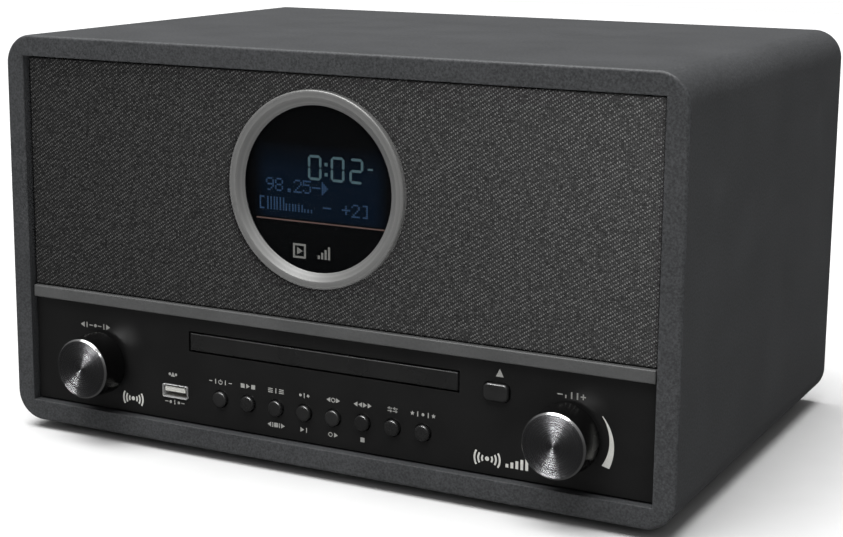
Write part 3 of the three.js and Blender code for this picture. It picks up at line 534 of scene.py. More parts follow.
def buildCabinet():
    s = cabinetSizes
    low, high = corners("cabinet")
    half, rise, z = (high.x - low.x) / 2, (high.z - low.z) / 2, (low.z + high.z) / 2
    wide, tall = half - s["wall"], rise - s["wall"]
    outside = barStations(low.y, high.y, half, rise, s["radius"], s["arris"])
    rebateY = high.y - s["rebateDepth"]
    inside = [(high.y, wide + s["rebate"], tall + s["rebate"], 0),
              (rebateY, wide + s["rebate"], tall + s["rebate"], 0), (rebateY, wide, tall, 0)]
    for k in range(3, -1, -1):  # the mouth's edge, from the inside out
        turn = k * math.pi / 6
        less = s["mouthArris"] * (1 - math.sin(turn))
        inside.append((s["mouthArris"] * (1 - math.cos(turn)), wide + less, tall + less, 0))
    bm = bmesh.new()
    lofted(bm, 0, z, outside + inside, ring=True, steps=s["steps"])
    b = s["block"] / 2
    for sx in (-1, 1):
        for sz in (-1, 1):
            lofted(bm, sx * (wide - b + s["sink"]), z + sz * (tall - b + s["sink"]),
                   [(rebateY - s["blockLength"], b, b, 0), (rebateY - 0.01, b, b, 0)], steps=1)
    addPiece("cabinet_shell", bm, "cabinet_wrap", ["cabinet"], sharp=30)


buildCabinet()

footSizes = {"radius": 10.0, "height": 3.7, "dish": 6.0, "dishDepth": 0.6, "rounding": 1.0, "chamfer": 0.3}


def buildFeet():
    tree = Tree("rubberFoot", {**footSizes, "sides": 64})
    radius, height, rounding = (tree.size(key) for key in ("radius", "height", "rounding"))
    dish, dishDepth, chamfer = (tree.size(key) for key in ("dish", "dishDepth", "chamfer"))
    rings = [(dish, dishDepth), (dish + dishDepth, 0.0)]
    for k in range(5):
        turn = k / 4 * math.pi / 2
        rings.append((radius - rounding * (1 - math.sin(turn)), rounding * (1 - math.cos(turn))))
    rings += [(radius, height - chamfer), (radius - chamfer, height)]
    nodes = [f"foot_{end}_{side}" for end in ("front", "rear") for side in ("left", "right")]
    places = [Vector((middle(node).x, middle(node).y, corners(node)[0].z)) for node in nodes]
    shape = tree.stack(rings, tree.size("sides"))
    tree.grow("rubber_feet", tree.scatter(shape), places, "rubber", replaces=nodes)


buildFeet()
print("cabinet and feet built")

clothSizes = {"curl": 0.95, "thickness": 0.62, "corner": 1.2, "underRing": 2.4}


def buildCloth():
    s = clothSizes
    low, high = corners("grille_cloth")
    ringMiddle = middle("display_ring")
    hole = (corners("display_ring")[1].x - corners("display_ring")[0].x) / 2 - s["underRing"]
    w, h, z = (high.x - low.x) / 2, (high.z - low.z) / 2, (high.z + low.z) / 2
    bm = bmesh.new()
    arc = [k / 5 * math.pi / 2 for k in range(6)]  # edge to face
    inner = s["curl"] - s["thickness"]

    def loop(y, inset):
        outline = roundedLoop(0, z, w - inset, h - inset, max(s["corner"] - inset, 0.05), 4)
        return [bm.verts.new((px, y, pz)) for px, pz in outline]

    faceLoops = [loop(low.y + s["curl"] * (1 - math.sin(a)), s["curl"] * (1 - math.cos(a))) for a in arc]
    backLoops = [loop(low.y + s["curl"] - inner * math.sin(a), s["thickness"] + inner * (1 - math.cos(a)))
                 for a in arc]
    for loops in (faceLoops, backLoops):
        for first, second in zip(loops, loops[1:]):
            joinLoops(bm, first, second)
    joinLoops(bm, faceLoops[0], backLoops[0])
    holes = []
    for edge, y in ((faceLoops[-1], low.y), (backLoops[-1], low.y + s["thickness"])):
        circle = [bm.verts.new((ringMiddle.x + px, y, ringMiddle.z + pz))
                  for px, pz in circleLoop(0, 0, hole, 96)]
        rim = [bm.edges.new(pair) for pair in zip(circle, circle[1:] + circle[:1])]
        border = [bm.edges.get(pair) for pair in zip(edge, edge[1:] + edge[:1])]
        bmesh.ops.triangle_fill(bm, use_beauty=True, edges=rim + border)
        holes.append(circle)
    joinLoops(bm, *holes)
    piece = addPiece("woven_grille_cloth", bm, "grille_fabric", ["grille_cloth"], sharp=50)
    turn = 2 * s["curl"] * (math.pi / 2 - 1)
    flat = ((2 * w + turn) * mm, (2 * h + turn) * mm)
    flat[0] * flat[1] - math.pi * (hole * mm) ** 2


buildCloth()

trimSizes = {"corner": 0.5, "ease": 0.7}


def buildTrim():
    low, high = corners("trim_strip")
    w, h = (high.x - low.x) / 2, (high.z - low.z) / 2
    bm = bmesh.new()
    stations = barStations(low.y, high.y, w, h, trimSizes["corner"], trimSizes["ease"])
    lofted(bm, 0, (low.z + high.z) / 2, stations, steps=4)
    addPiece("grey_trim_strip", bm, "grey_plastic", ["trim_strip"])


buildTrim()

panelSizes = {"gap": 0.3, "edge": 0.7, "ease": 0.25, "bushing": 3.9}
buttonNames = ["standby", "mode", "menu", "program", "repeat", "scan", "tone", "preset"]


def buildPanel():
    s = panelSizes
    low, high = corners("control_panel")
    outlines = [[(low.x, low.z), (high.x, low.z), (high.x, high.z), (low.x, high.z)]]
    for name in buttonNames:
        spot = middle("button_" + name)
        outlines.append(circleLoop(spot.x, spot.z, buttonSizes["radius"] + s["gap"]))
    for name in ("tuning", "volume"):
        spot = middle(name + "_knob")
        outlines.append(circleLoop(spot.x, spot.z, s["bushing"]))
    for node, grow, radius in (("cd_drawer_front", s["edge"], 0.3), ("usb_socket", s["gap"], 0.4)):
        a, b = corners(node)
        outlines.append(roundedLoop((a.x + b.x) / 2, (a.z + b.z) / 2, (b.x - a.x) / 2 + grow,
                                    (b.z - a.z) / 2 + grow, radius, 3))
    spot, cap = middle("button_eject"), ejectSizes
    outlines.append(roundedLoop(spot.x, spot.z, cap["width"] / 2 + s["gap"], cap["height"] / 2 + s["gap"],
                                cap["radius"] + s["gap"]))
    bm = plateMesh("control_panel", outlines, low.y, high.y, s["ease"])
    addPiece("front_control_panel", bm, "panel_plastic", ["control_panel"], sharp=25)


buttonSizes = {"radius": 3.75, "rounding": 0.75, "flange": 1.3, "skirt": 1.0, "stem": 1.6, "crown": 0.02}
ejectSizes = {"width": 12.0, "height": 8.0, "radius": 2.6, "rounding": 0.9, "lip": 1.0, "skirt": 1.0,
              "stem": 2.0}


def buildButtons():
    tree = Tree("roundButton", {**buttonSizes, "depth": 9.0, "shown": 4.5, "sides": 64})
    radius, rounding, flange, stem = (tree.size(key) for key in ("radius", "rounding", "flange", "stem"))
    depth, shown, skirt, crown = (tree.size(key) for key in ("depth", "shown", "skirt", "crown"))
    rings = [(stem, 0.0), (stem, depth - shown - skirt), (radius + flange, depth - shown - skirt),
             (radius + flange, depth - shown), (radius, depth - shown)]
    for k in range(6):
        turn = k / 5 * math.pi / 2
        rings.append((radius - rounding + rounding * math.cos(turn),
                      depth - rounding + rounding * math.sin(turn)))
    rings.append((radius * 0.5, depth + crown))
    shape = tree.stack(rings, tree.size("sides"))
    shape = tree.node("GeometryNodeTransform", None, {0: shape, "Rotation": facing})
    panelBack = corners("control_panel")[1].y
    for i, name in enumerate(buttonNames):
        low, high = corners("button_" + name)
        spot = middle("button_" + name)
        sizes = {"depth": high.y - low.y - buttonSizes["crown"],
                 "shown": panelBack + panelSizes["gap"] - low.y}
        settings = {"sizes": sizes, "replaces": ["button_" + name], "body": name + "_button"}
        places = [(spot.x, high.y, spot.z)]
        if i == 0:
            tree.grow("key_" + name, tree.scatter(shape), places, "moulded_plastic", keyBlack, **settings)
        else:
            tree.plant("key_" + name, places, "moulded_plastic", keyBlack, **settings)


def buildEject():
    s = ejectSizes
    low, high = corners("button_eject")
    spot = middle("button_eject")
    rear = corners("control_panel")[1].y + panelSizes["gap"]
    w, h = s["width"] / 2, s["height"] / 2
    front = barStations(low.y, high.y, w, h, s["radius"], s["rounding"], 5)[:6]
    stations = [(low.y, w * 0.5, h * 0.5, 0.8)] + front + [(rear, w, h, s["radius"])]
    stations += [(rear, w + s["lip"], h + s["lip"], s["radius"]),
                 (rear + s["skirt"], w + s["lip"], h + s["lip"], s["radius"]),
                 (rear + s["skirt"], s["stem"], s["stem"], 0.4), (high.y, s["stem"], s["stem"], 0.4)]
    bm = bmesh.new()
    lofted(bm, spot.x, spot.z, stations)
    addPiece("key_eject", bm, "moulded_plastic", ["button_eject"], "eject_button", [keyBlack])


keyBlack = plainFinish("keyBlack", tone(0.009), tone(0.014), (0.24, 0.34), 1800.0, relief=0.008,
                       extra={"Specular IOR Level": 0.4})
buildPanel()
buildButtons()
buildEject()
print("panel and buttons built")

knobSizes = {"radius": 15.3, "faceRadius": 14.4, "chamfer": 0.8, "wall": 2.0, "face": 4.0, "hub": 5.0,
             "bore": 2.8, "hubShort": 0.5, "gap": 0.3}
knobLook = {  # dark, light, lean of the rings, roughness, rings a millimetre
    "face": (tone(0.09, 0.09, 0.093), tone(0.102, 0.102, 0.105), 3.2, (0.22, 0.28), 22.0),
    "rim": (tone(0.45), tone(0.6), 0.3, (0.16, 0.24), 3.0)}


def buildKnobs():
    s = knobSizes
    for name in ("tuning", "volume"):
        low, high = corners(name + "_knob")
        spot = middle(name + "_knob")
        front, back = low.y, high.y
        inside, hubEnd, boreEnd = front + s["face"], back - s["hubShort"], front + s["face"] - s["gap"]
        profile = eased([(0, front), (s["faceRadius"] - s["chamfer"], front, 0.12),
                         (s["faceRadius"], front + s["chamfer"], 0.2), (s["radius"], back, 0.5),
                         (s["radius"] - s["wall"], back, 0.3), (s["faceRadius"] - s["wall"], inside),
                         (s["hub"], inside), (s["hub"], hubEnd), (s["bore"], hubEnd), (s["bore"], boreEnd),
                         (0, boreEnd)], steps=3)
        bm = bmesh.new()
        turned(bm, profile, (spot.x, 0, spot.z), 160)

        def rule(centre, normal, front=front):
            if normal.y < -0.98 and centre.y < front + 0.1:
                return 0
            return 1 if normal.y < -0.3 and centre.y < front + s["chamfer"] + 0.1 else 2

        face = spunFinish(name + "SpunFace", spot.x, spot.z, *knobLook["face"])
        rim = spunFinish(name + "Rim", spot.x, spot.z, *knobLook["rim"])
        addPiece(f"turned_{name}_knob", bm, "knob_metal", [name + "_knob"], name, [face, rim, knobSide],
                 rule, 25)


knobSide = plainFinish("knobSide", tone(0.02), tone(0.035), (0.2, 0.28), 1600.0, relief=0.004, metal=0.9)
buildKnobs()

ringSizes = {"flat": 3.4, "slope": 3.6, "bevel": 2.6, "edge": 0.9, "lip": 0.4, "overhang": 2.7,
             "spigotWall": 2.6, "gap": 0.3, "lensEdge": 0.3}
ringLook = (tone(0.22, 0.22, 0.217), tone(0.26, 0.26, 0.255), 0.4, (0.36, 0.44), 8.0, 0.45)  # and metallic


def buildRing():
    s = ringSizes
    low, high = corners("display_ring")
    spot = middle("display_ring")
    radius = (high.x - low.x) / 2
    inner, spigot = radius - s["flat"] - s["slope"], radius - s["overhang"]
    seat = corners("grille_cloth")[0].y - s["gap"]
    bevel, bore = low.y + s["bevel"], spigot - s["spigotWall"]
    profile = eased([(radius, seat, 0.1), (radius, low.y, s["edge"]), (radius - s["flat"], low.y, 0.8),
                     (inner, bevel, 0.3), (inner, bevel + s["lip"]), (bore, bevel + s["lip"]), (bore, high.y),
                     (spigot, high.y), (spigot, seat)], closed=True, steps=5)
    bm = bmesh.new()
    turned(bm, profile, (spot.x, 0, spot.z), 192)
    metal = spunFinish("ringMetal", spot.x, spot.z, *ringLook)
    addPiece("spun_display_ring", bm, "ring_metal", ["display_ring"], materials=[metal], sharp=50)
    a, b = corners("display_lens")
    r, edge = (b.x - a.x) / 2, s["lensEdge"]
    bm = bmesh.new()
    turned(bm, eased([(0, a.y), (r, a.y, edge), (r, b.y, edge), (0, b.y)], steps=3), (spot.x, 0, spot.z), 128)
    smoke = plainFinish("lensSmoke", tone(0.002, 0.0024, 0.003), tone(0.003, 0.0035, 0.004), (0.06, 0.1),
                        300.0, relief=0.001, extra={"Alpha": 0.3, "Specular IOR Level": 0.1})
    addPiece("clear_display_lens", bm, "lens_plastic", ["display_lens"], materials=[smoke])


def prism(bm, points, front, back):
    face = [bm.verts.new((x, front, z)) for x, z in points]
    rear = [bm.verts.new((x, back, z)) for x, z in points]
    joinLoops(bm, face, rear)
    bm.faces.new(face)
    bm.faces.new(rear)


def bar(x, z, width, height):
    w, h = width / 2, height / 2
    return [(x - w, z - h), (x + w, z - h), (x + w, z + h), (x - w, z + h)]


def arcBand(x, z, radius, width, start, end, steps=18):
    outer, inner = [], []
    for k in range(steps + 1):
        turn = math.radians(start + (end - start) * k / steps)
        for side, r in ((outer, radius + width / 2), (inner, radius - width / 2)):
            side.append((x + r * math.cos(turn), z + r * math.sin(turn)))
    return outer + inner[::-1]


# Places on the display are counted from the ring's middle.
displaySizes = {"gap": 0.04, "face": 0.06, "figureGap": 0.08, "ruleDrop": 15.5, "ruleWidth": 66.0,
                "rule": 0.6}
segments = {"0": "abcdef", "2": "abged"}
clockSizes = {"width": 5.7, "height": 10.0, "stroke": 1.15, "nick": 0.12, "low": 3.7, "xs": (-2.6, 9.0, 18.4),
              "colon": 3.2, "dots": (-2.1, 2.4), "dot": 1.5, "dash": (25.3, 6.8, 2.6, 0.8)}
symbolSizes = {"x": -10.6, "z": -28.9, "reach": 2.85, "stroke": 0.9, "frame": 6.6, "arrow": 1.7,
               "arrowBack": 1.2, "levels": (1.6, 3.0, 4.4, 5.8), "levelX": -0.6, "levelZ": -31.6,
               "levelPitch": 1.75, "levelWidth": 1.0}
rowSizes = {"pitch": 0.86, "dot": 0.66, "deep": 0.04, "advance": 5.6,
            "rows": (("98.25->", -27.6, 2.8), ("[##==_ - +2]", -31.8, -5.8))}
dotFigures = {
    "9": "01110 10001 10001 01111 00001 00010 01100",
    "8": "01110 10001 10001 01110 10001 10001 01110",
    "2": "01110 10001 00001 00010 00100 01000 11111",
    "5": "11111 10000 11110 00001 00001 10001 01110",
    ".": "00000 00000 00000 00000 00000 00110 00110",
    "[": "01110 01000 01000 01000 01000 01000 01110",
    "]": "01110 00010 00010 00010 00010 00010 01110",
    "-": "00000 00000 00000 11111 00000 00000 00000",
    "#": "10101 10101 10101 10101 10101 10101 10101",
    "=": "00000 00000 00000 10101 10101 10101 10101",
    "_": "00000 00000 00000 00000 00000 10101 10101",
    "+": "00000 00100 00100 11111 00100 00100 00000",
    ">": "10000 11000 11100 11110 11100 11000 10000",
}


def buildDisplay():
    low = corners("display_module")[0]
    spot = middle("display_ring")
    lens = corners("display_lens")
    d, s = displaySizes, clockSizes
    radius = (lens[1].x - lens[0].x) / 2
    face = low.y - d["gap"]
    front, back = lens[1].y + d["gap"], face - d["figureGap"]
    bm = bmesh.new()
    turned(bm, [(0, face - d["face"]), (radius, face - d["face"]), (radius, face), (0, face)],
           (spot.x, 0, spot.z), 128)
    addPiece("display_face", bm, "display_glass", materials=[glowFinish(spot.x, spot.z)])

    bm = bmesh.new()
    w, h, t, n = s["width"] / 2, s["height"] / 2, s["stroke"] / 2, s["nick"]
    ends = {"a": ((-w, h), (w, h)), "b": ((w, h), (w, 0)), "c": ((w, 0), (w, -h)), "d": ((-w, -h), (w, -h)),
            "e": ((-w, 0), (-w, -h)), "f": ((-w, h), (-w, 0)), "g": ((-w, 0), (w, 0))}
    for x, figure in zip(s["xs"], "002"):
        centre = Vector((spot.x + x, spot.z + s["low"] + h + t))
        for letter in segments[figure]:
            a, b = (Vector(end) for end in ends[letter])
            way = (b - a).normalized()
            side = Vector((-way.y, way.x)) * t
            a, b = a + way * n, b - way * n
            points = [a, a + way * t + side, b - way * t + side, b, b - way * t - side, a + way * t - side]
            prism(bm, [tuple(centre + point) for point in points], front, back)
    for rise in s["dots"]:
        dot = bar(spot.x + s["colon"], spot.z + s["low"] + h + rise, s["dot"], s["dot"])
        prism(bm, dot, front, back)
    x, rise, width, height = s["dash"]
    prism(bm, bar(spot.x + x, spot.z + s["low"] + rise, width, height), front, back)
    clockLight = lightFinish("clockLight", (0.12, 0.21, 0.24), 1.0)
    addPiece("clock_figures", bm, "display_glass", materials=[clockLight])

    bm = bmesh.new()
    prism(bm, bar(spot.x, spot.z - d["ruleDrop"], d["ruleWidth"], d["rule"]), front, back)
    ruleLight = lightFinish("ruleLight", (0.2, 0.13, 0.115), 1.0, 60.0)
    addPiece("display_rule", bm, "display_glass", materials=[ruleLight])

    s = symbolSizes
    bm = bmesh.new()
    x, z, stroke, arrow = spot.x + s["x"], spot.z + s["z"], s["stroke"], s["arrow"]
    for side in (-1, 1):  # an arrow in a frame
        prism(bm, bar(x + side * s["reach"], z, stroke, s["frame"]), front, back)
        prism(bm, bar(x, z + side * s["reach"], s["frame"] - 2 * stroke, stroke), front, back)
    rear = x - s["arrowBack"]
    prism(bm, [(rear, z - arrow), (x + arrow, z), (rear, z + arrow)], front, back)
    for k, tall in enumerate(s["levels"]):
        level = bar(spot.x + s["levelX"] + s["levelPitch"] * k, spot.z + s["levelZ"] + tall / 2,
                    s["levelWidth"], tall)
        prism(bm, level, front, back)
    symbolLight = lightFinish("symbolLight", (0.42, 0.42, 0.4), 0.8)
    addPiece("display_symbols", bm, "display_glass", materials=[symbolLight])

    s = rowSizes
    tree = Tree("dotRow", {"dot": s["dot"], "deep": s["deep"]})
    dot = tree.size("dot")
    size = tree.node("ShaderNodeCombineXYZ", None, {0: dot, 1: tree.size("deep"), 2: dot})
    cell = tree.node("GeometryNodeMeshCube", None, {"Size": size})
    points = []
    for text, left, top in s["rows"]:
        for place, letter in enumerate(text):
            for row, line in enumerate(dotFigures.get(letter, "").split()):
                for column, on in enumerate(line):
                    if on == "1":
                        across = left + (place * s["advance"] + column) * s["pitch"]
                        points.append((spot.x + across, (front + back) / 2, spot.z + top - row * s["pitch"]))
    tree.grow("display_dot_rows", tree.scatter(cell), points, "display_glass",
              lightFinish("dotLight", (0.055, 0.12, 0.24), 1.0))


buildRing()
buildDisplay()
print("knobs and display built")

usbSizes = {"wall": 0.5, "radius": 0.9, "mouthDepth": 11.3, "lip": 0.15, "flare": 1.5, "tongue": 2.3,
            "tongueIn": 0.5, "tongueRise": 0.9, "tongueSide": 1.4, "contacts": 4, "contactPitch": 2.4,
            "contactWidth": 1.1, "contactIn": 1.6, "contactDepth": 0.08}


def buildUsb():
    s = usbSizes
    low, high = corners("usb_socket")
    spot = middle("usb_socket")
    w, h = (high.x - low.x) / 2, (high.z - low.z) / 2
    a, b, r, lip = w - s["wall"], h - s["wall"], s["radius"], s["lip"]
    floor = low.y + s["mouthDepth"]
    bm = bmesh.new()
    lofted(bm, spot.x, spot.z, [
        (floor, a, b, r - 0.4), (low.y + s["flare"], a, b, r - 0.4), (low.y, w - lip, h - lip, r - 0.1),
        (low.y + lip, w, h, r), (high.y, w, h, r)])
    nickel = plainFinish("usbNickel", tone(0.48), tone(0.6), (0.25, 0.35), 900.0, relief=0.004, metal=0.35)
    addPiece("usb_shell", bm, "steel", ["usb_socket"], materials=[nickel])
    bm = bmesh.new()
    tongue = barStations(low.y + s["tongueIn"], floor + 0.3, w - s["tongueSide"], s["tongue"] / 2, 0.3, 0.25)
    lofted(bm, spot.x, spot.z + s["tongueRise"], tongue)
    ivory = plainFinish("usbTongue", tone(0.5, 0.5, 0.47), tone(0.6, 0.6, 0.56))
    addPiece("usb_tongue", bm, "nylon", materials=[ivory])
    bm = bmesh.new()
    half, under = s["contactWidth"] / 2, spot.z + s["tongueRise"] - s["tongue"] / 2 - 0.06
    for k in range(s["contacts"]):
        x = spot.x + (k - (s["contacts"] - 1) / 2) * s["contactPitch"]
        lofted(bm, x, under, [(low.y + s["contactIn"], half, s["contactDepth"], 0),
                              (floor, half, s["contactDepth"], 0)], steps=1)
    gold = plainFinish("contactGold", tone(0.6, 0.42, 0.16), tone(0.7, 0.5, 0.22), (0.2, 0.3), metal=1.0)
    addPiece("usb_contacts", bm, "steel", materials=[gold])


drawerSizes = {"ease": 0.8, "corner": 0.3}


def buildDrawer():
    low, high = corners("cd_drawer_front")
    spot = middle("cd_drawer_front")
    w, h = (high.x - low.x) / 2, (high.z - low.z) / 2
    bm = bmesh.new()
    stations = barStations(low.y, high.y, w, h, drawerSizes["corner"], drawerSizes["ease"])
    lofted(bm, spot.x, spot.z, stations, steps=3)
    black = plainFinish("drawerBlack", tone(0.011), tone(0.015), (0.24, 0.32), 1500.0, relief=0.005,
                        extra={"Specular IOR Level": 0.5})
    addPiece("disc_drawer_front", bm, "panel_plastic", ["cd_drawer_front"], "drawer", [black])


# Rows of small signs: what they show and how wide the row is; elsewhere also the place and the height.
signSizes = {
    "rise": 8.2, "drop": 8.0, "tall": 2.3, "deep": 0.05, "sunk": 0.02,
    "above": {"standby": ("-|p|-", 13.5), "mode": ("s>s", 8.6), "menu": ("=|=", 8.8), "program": ("o|o", 6.0),
              "repeat": ("<c>", 7.2), "scan": ("<<>>", 9.4), "tone": ("~~", 5.4), "preset": ("*|o|*", 13.0)},
    "below": {"menu": ("<|s|>", 9.0), "program": (">|", 4.6), "repeat": ("c>", 5.6), "scan": ("s", 2.4)},
    "elsewhere": (("tuning_knob", "<|-o-|>", -3.5, 17.2, 17.5, 2.7),
                  ("volume_knob", "-:||+", 1.2, 17.8, 13.0, 2.9), ("usb_socket", "o^o", -1.2, 8.2, 5.2, 2.3),
                  ("usb_socket", "-o|o-", -0.4, -5.3, 11.5, 2.3), ("button_eject", "^", 1.3, 8.6, 4.0, 3.6)),
    "waves": (("tuning_knob", 18.0, -15.9, (2.2, 3.9, 5.6)), ("volume_knob", -37.0, -15.8, (2.4, 4.2, 6.0))),
    "waveDot": 1.0, "waveStroke": 0.85, "waveSpan": 64,
    "levels": 5, "levelX": -27.6, "levelZ": -18.2, "levelPitch": 2.3, "levelWidth": 1.3, "levelLow": 1.6,
    "levelStep": 0.95,
    "wedgeRadius": 18.5, "wedgeThin": 0.3, "wedgeGrowth": 3.0, "wedgeFrom": 36, "wedgeInner": 70,
    "wedgeOuter": 67}


def sign(kind, x, z, t):  # the outlines of one small sign, t tall
    h = t / 2
    star = [(h if k % 2 == 0 else h * 0.45, k * math.pi / 5) for k in range(10)]
    return {
        "-": [bar(x, z, t * 0.8, t * 0.18)],
        "|": [bar(x, z, t * 0.22, t)],
        "s": [bar(x, z, t * 0.9, t * 0.9)],
        "o": [circleLoop(x, z, t * 0.3, 20)],
        "c": [arcBand(x, z, h * 0.8, t * 0.16, 0, 359.9, 24)],
        ">": [[(x - h * 0.8, z - h), (x + h * 0.9, z), (x - h * 0.8, z + h)]],
        "<": [[(x + h * 0.8, z - h), (x + h * 0.8, z + h), (x - h * 0.9, z)]],
        "^": [[(x - h, z - h), (x + h, z - h), (x, z + h)]],
        "=": [bar(x, z + k * t * 0.36, t * 1.1, t * 0.17) for k in (-1, 0, 1)],
        "+": [bar(x, z, t * 0.8, t * 0.18), bar(x, z + t * 0.26, t * 0.18, t * 0.3),
              bar(x, z - t * 0.26, t * 0.18, t * 0.3)],
        "p": [arcBand(x, z - t * 0.05, h * 0.85, t * 0.16, 120, 420, 24),
              bar(x, z + t * 0.3, t * 0.15, t * 0.5)],
        "*": [[(x + r * math.sin(turn), z + r * math.cos(turn)) for r, turn in star]],
        "~": [bar(x, z + h * 0.55, t, t * 0.14), bar(x - h * 0.3, z + h * 0.55, t * 0.22, t * 0.5),
              bar(x, z - h * 0.55, t, t * 0.14), bar(x + h * 0.4, z - h * 0.55, t * 0.22, t * 0.5)],
        ":": [bar(x, z - t * 0.25, t * 0.2, t * 0.5)],
    }[kind]


def buildSigns():
    s = signSizes
    face = corners("control_panel")[0].y
    front, back = face - s["deep"], face + s["sunk"]
    labels, bm = bmesh.new(), bmesh.new()

    def row(text, x, z, width, tall=s["tall"]):
        step = width / len(text)
        for k, kind in enumerate(text):
            for outline in sign(kind, x + (k - (len(text) - 1) / 2) * step, z, tall):
                prism(labels, outline, front, back)

    for rows, rise in ((s["above"], s["rise"]), (s["below"], -s["drop"])):
        for name, (text, width) in rows.items():
            spot = middle("button_" + name)
            row(text, spot.x, spot.z + rise, width)
    for node, text, across, rise, width, tall in s["elsewhere"]:
        spot = middle(node)
        row(text, spot.x + across, spot.z + rise, width, tall)
    addPiece("printed_labels", labels, "panel_plastic", materials=[inkGrey])

    for node, across, rise, radii in s["waves"]:
        x, z = middle(node).x + across, middle(node).z + rise
        prism(bm, circleLoop(x, z, s["waveDot"], 24), front, back)
        for radius in radii:
            for start in (-s["waveSpan"] / 2, 180 - s["waveSpan"] / 2):
                prism(bm, arcBand(x, z, radius, s["waveStroke"], start, start + s["waveSpan"]), front, back)
    volume = middle("volume_knob")
    for k in range(s["levels"]):
        tall = s["levelLow"] + s["levelStep"] * k
        level = bar(volume.x + s["levelX"] + s["levelPitch"] * k, volume.z + s["levelZ"] + tall / 2,
                    s["levelWidth"], tall)
        prism(bm, level, front, back)
    parts = [k / 30 for k in range(31)]
    wedge = [(s["wedgeRadius"], s["wedgeFrom"] - s["wedgeInner"] * part) for part in parts]
    wedge += [(s["wedgeRadius"] + s["wedgeThin"] + s["wedgeGrowth"] * part,
               s["wedgeFrom"] - s["wedgeOuter"] * part) for part in reversed(parts)]
    outline = [(volume.x + r * math.cos(math.radians(turn)), volume.z + r * math.sin(math.radians(turn)))
               for r, turn in wedge]
    prism(bm, outline, front, back)
    addPiece("printed_signs", bm, "panel_plastic", materials=[inkWhite])


buildUsb()
buildDrawer()
buildSigns()
print("front details built")

backSizes = {"screwHole": 1.7, "antennaHole": 3.3, "vents": 9, "ventPitch": 7.0, "ventWidth": 64.0,
             "ventHeight": 3.0, "rim": 0.55, "rimOutset": 0.6, "inletFlange": 2.0, "ease": 0.3,
             "screwProud": 0.15}
screwNodes = [f"back_screw_{k}" for k in range(1, 5)]


def buildBack():
    s = backSizes
    low, high = corners("back_panel")
    outlines = [[(low.x, low.z), (high.x, low.z), (high.x, high.z), (low.x, high.z)]]
    for node in screwNodes:
        outlines.append(circleLoop(middle(node).x, middle(node).z, s["screwHole"], 24))
    base, inlet, spot = middle("antenna_base"), corners("power_inlet"), middle("power_inlet")
    outlines.append(circleLoop(base.x, base.z, s["antennaHole"], 32))
    w = (inlet[1].x - inlet[0].x) / 2 - s["inletFlange"]
    h = (inlet[1].z - inlet[0].z) / 2 - s["inletFlange"]
    outlines.append(roundedLoop(spot.x, spot.z, w, h, 0.2, 2))
    speakerZ = middle("speaker_basket_left").z
    rises = [speakerZ + (k - (s["vents"] - 1) / 2) * s["ventPitch"] for k in range(s["vents"])]
    w, h = s["ventWidth"] / 2, s["ventHeight"] / 2
    for z in rises:
        outlines.append(roundedLoop(0, z, w, h, h - 0.01, 6))
    bm = plateMesh("rear_panel", outlines, low.y, high.y, s["ease"])
    addPiece("rear_panel", bm, "moulded_plastic", ["back_panel"], sharp=25)
    tree = Tree("ventRim", {"width": s["ventWidth"], "height": s["ventHeight"], "rim": s["rim"],
                            "outset": s["rimOutset"]})
    width, height, outset = (tree.size(key) for key in ("width", "height", "outset"))
    outline = tree.node("GeometryNodeCurvePrimitiveQuadrilateral", None,
                        {"Width": width + outset * 2, "Height": height + outset * 2})
    outline = tree.node("GeometryNodeFilletCurve", None,
                        {"Curve": outline, "Radius": height * 0.5 + outset - 0.05})
    outline = tree.node("GeometryNodeResampleCurve", None, {"Curve": outline, "Count": 90})
    cord = tree.node("GeometryNodeCurvePrimitiveCircle", None, {"Resolution": 8, "Radius": tree.size("rim")})
    rim = tree.node("GeometryNodeCurveToMesh", None, {"Curve": outline, "Profile Curve": cord})
    rim = tree.node("GeometryNodeTransform", None, {0: rim, "Rotation": facing})
    tree.grow("vent_rims", tree.scatter(rim), [(0, high.y, z) for z in rises], "moulded_plastic", sharp=60)


screwSizes = {"head": 3.2, "headHeight": 2.0, "shank": 1.4, "length": 16.0, "slot": 0.9, "slotDepth": 1.1,
              "slotLength": 5.2}


def buildScrews():
    tree = Tree("backScrew", {**screwSizes, "seed": 5})
    head, tall, shank, length = (tree.size(key) for key in ("head", "headHeight", "shank", "length"))
    slot, slotLength = tree.size("slot"), tree.size("slotLength")
    rings = [(0.1, length * -1.0 - shank), (shank, length * -1.0), (shank, 0.0), (head, 0.0)]
    for k in range(1, 5):
        turn = k / 5 * math.pi / 2
        rings.append((head * math.cos(turn * 0.72), tall * math.sin(turn)))
    rings.append((head * 0.35, tall))
    shape = tree.stack(rings, 40)
    for along, across in ((slotLength, slot), (slot, slotLength)):  # a cross slot
        deep = tree.size("slotDepth") * 2.0
        cutter = tree.node("ShaderNodeCombineXYZ", None, {0: along, 1: across, 2: deep})
        cube = tree.node("GeometryNodeMeshCube", None, {"Size": cutter})
        cube = tree.node("GeometryNodeTransform", None, {0: cube, "Translation": tree.upward(tall + 0.05)})
        shape = tree.node("GeometryNodeMeshBoolean", {"operation": "DIFFERENCE"}, {0: shape, 1: cube})
    turn = tree.node("FunctionNodeRandomValue", {"data_type": "FLOAT"},
                     {2: 0.0, 3: 1.5, 8: tree.size("seed")}, 1)
    shape = tree.node("GeometryNodeTransform", None, {0: shape, "Rotation": (-math.pi / 2, 0.0, 0.0)})
    spin = tree.node("ShaderNodeCombineXYZ", None, {1: turn})
    face = corners("back_panel")[1].y + backSizes["screwProud"]
    places = [(middle(node).x, face, middle(node).z) for node in screwNodes]
    tree.grow("back_screws", tree.scatter(shape, spin), places, "steel", replaces=screwNodes, sharp=30)


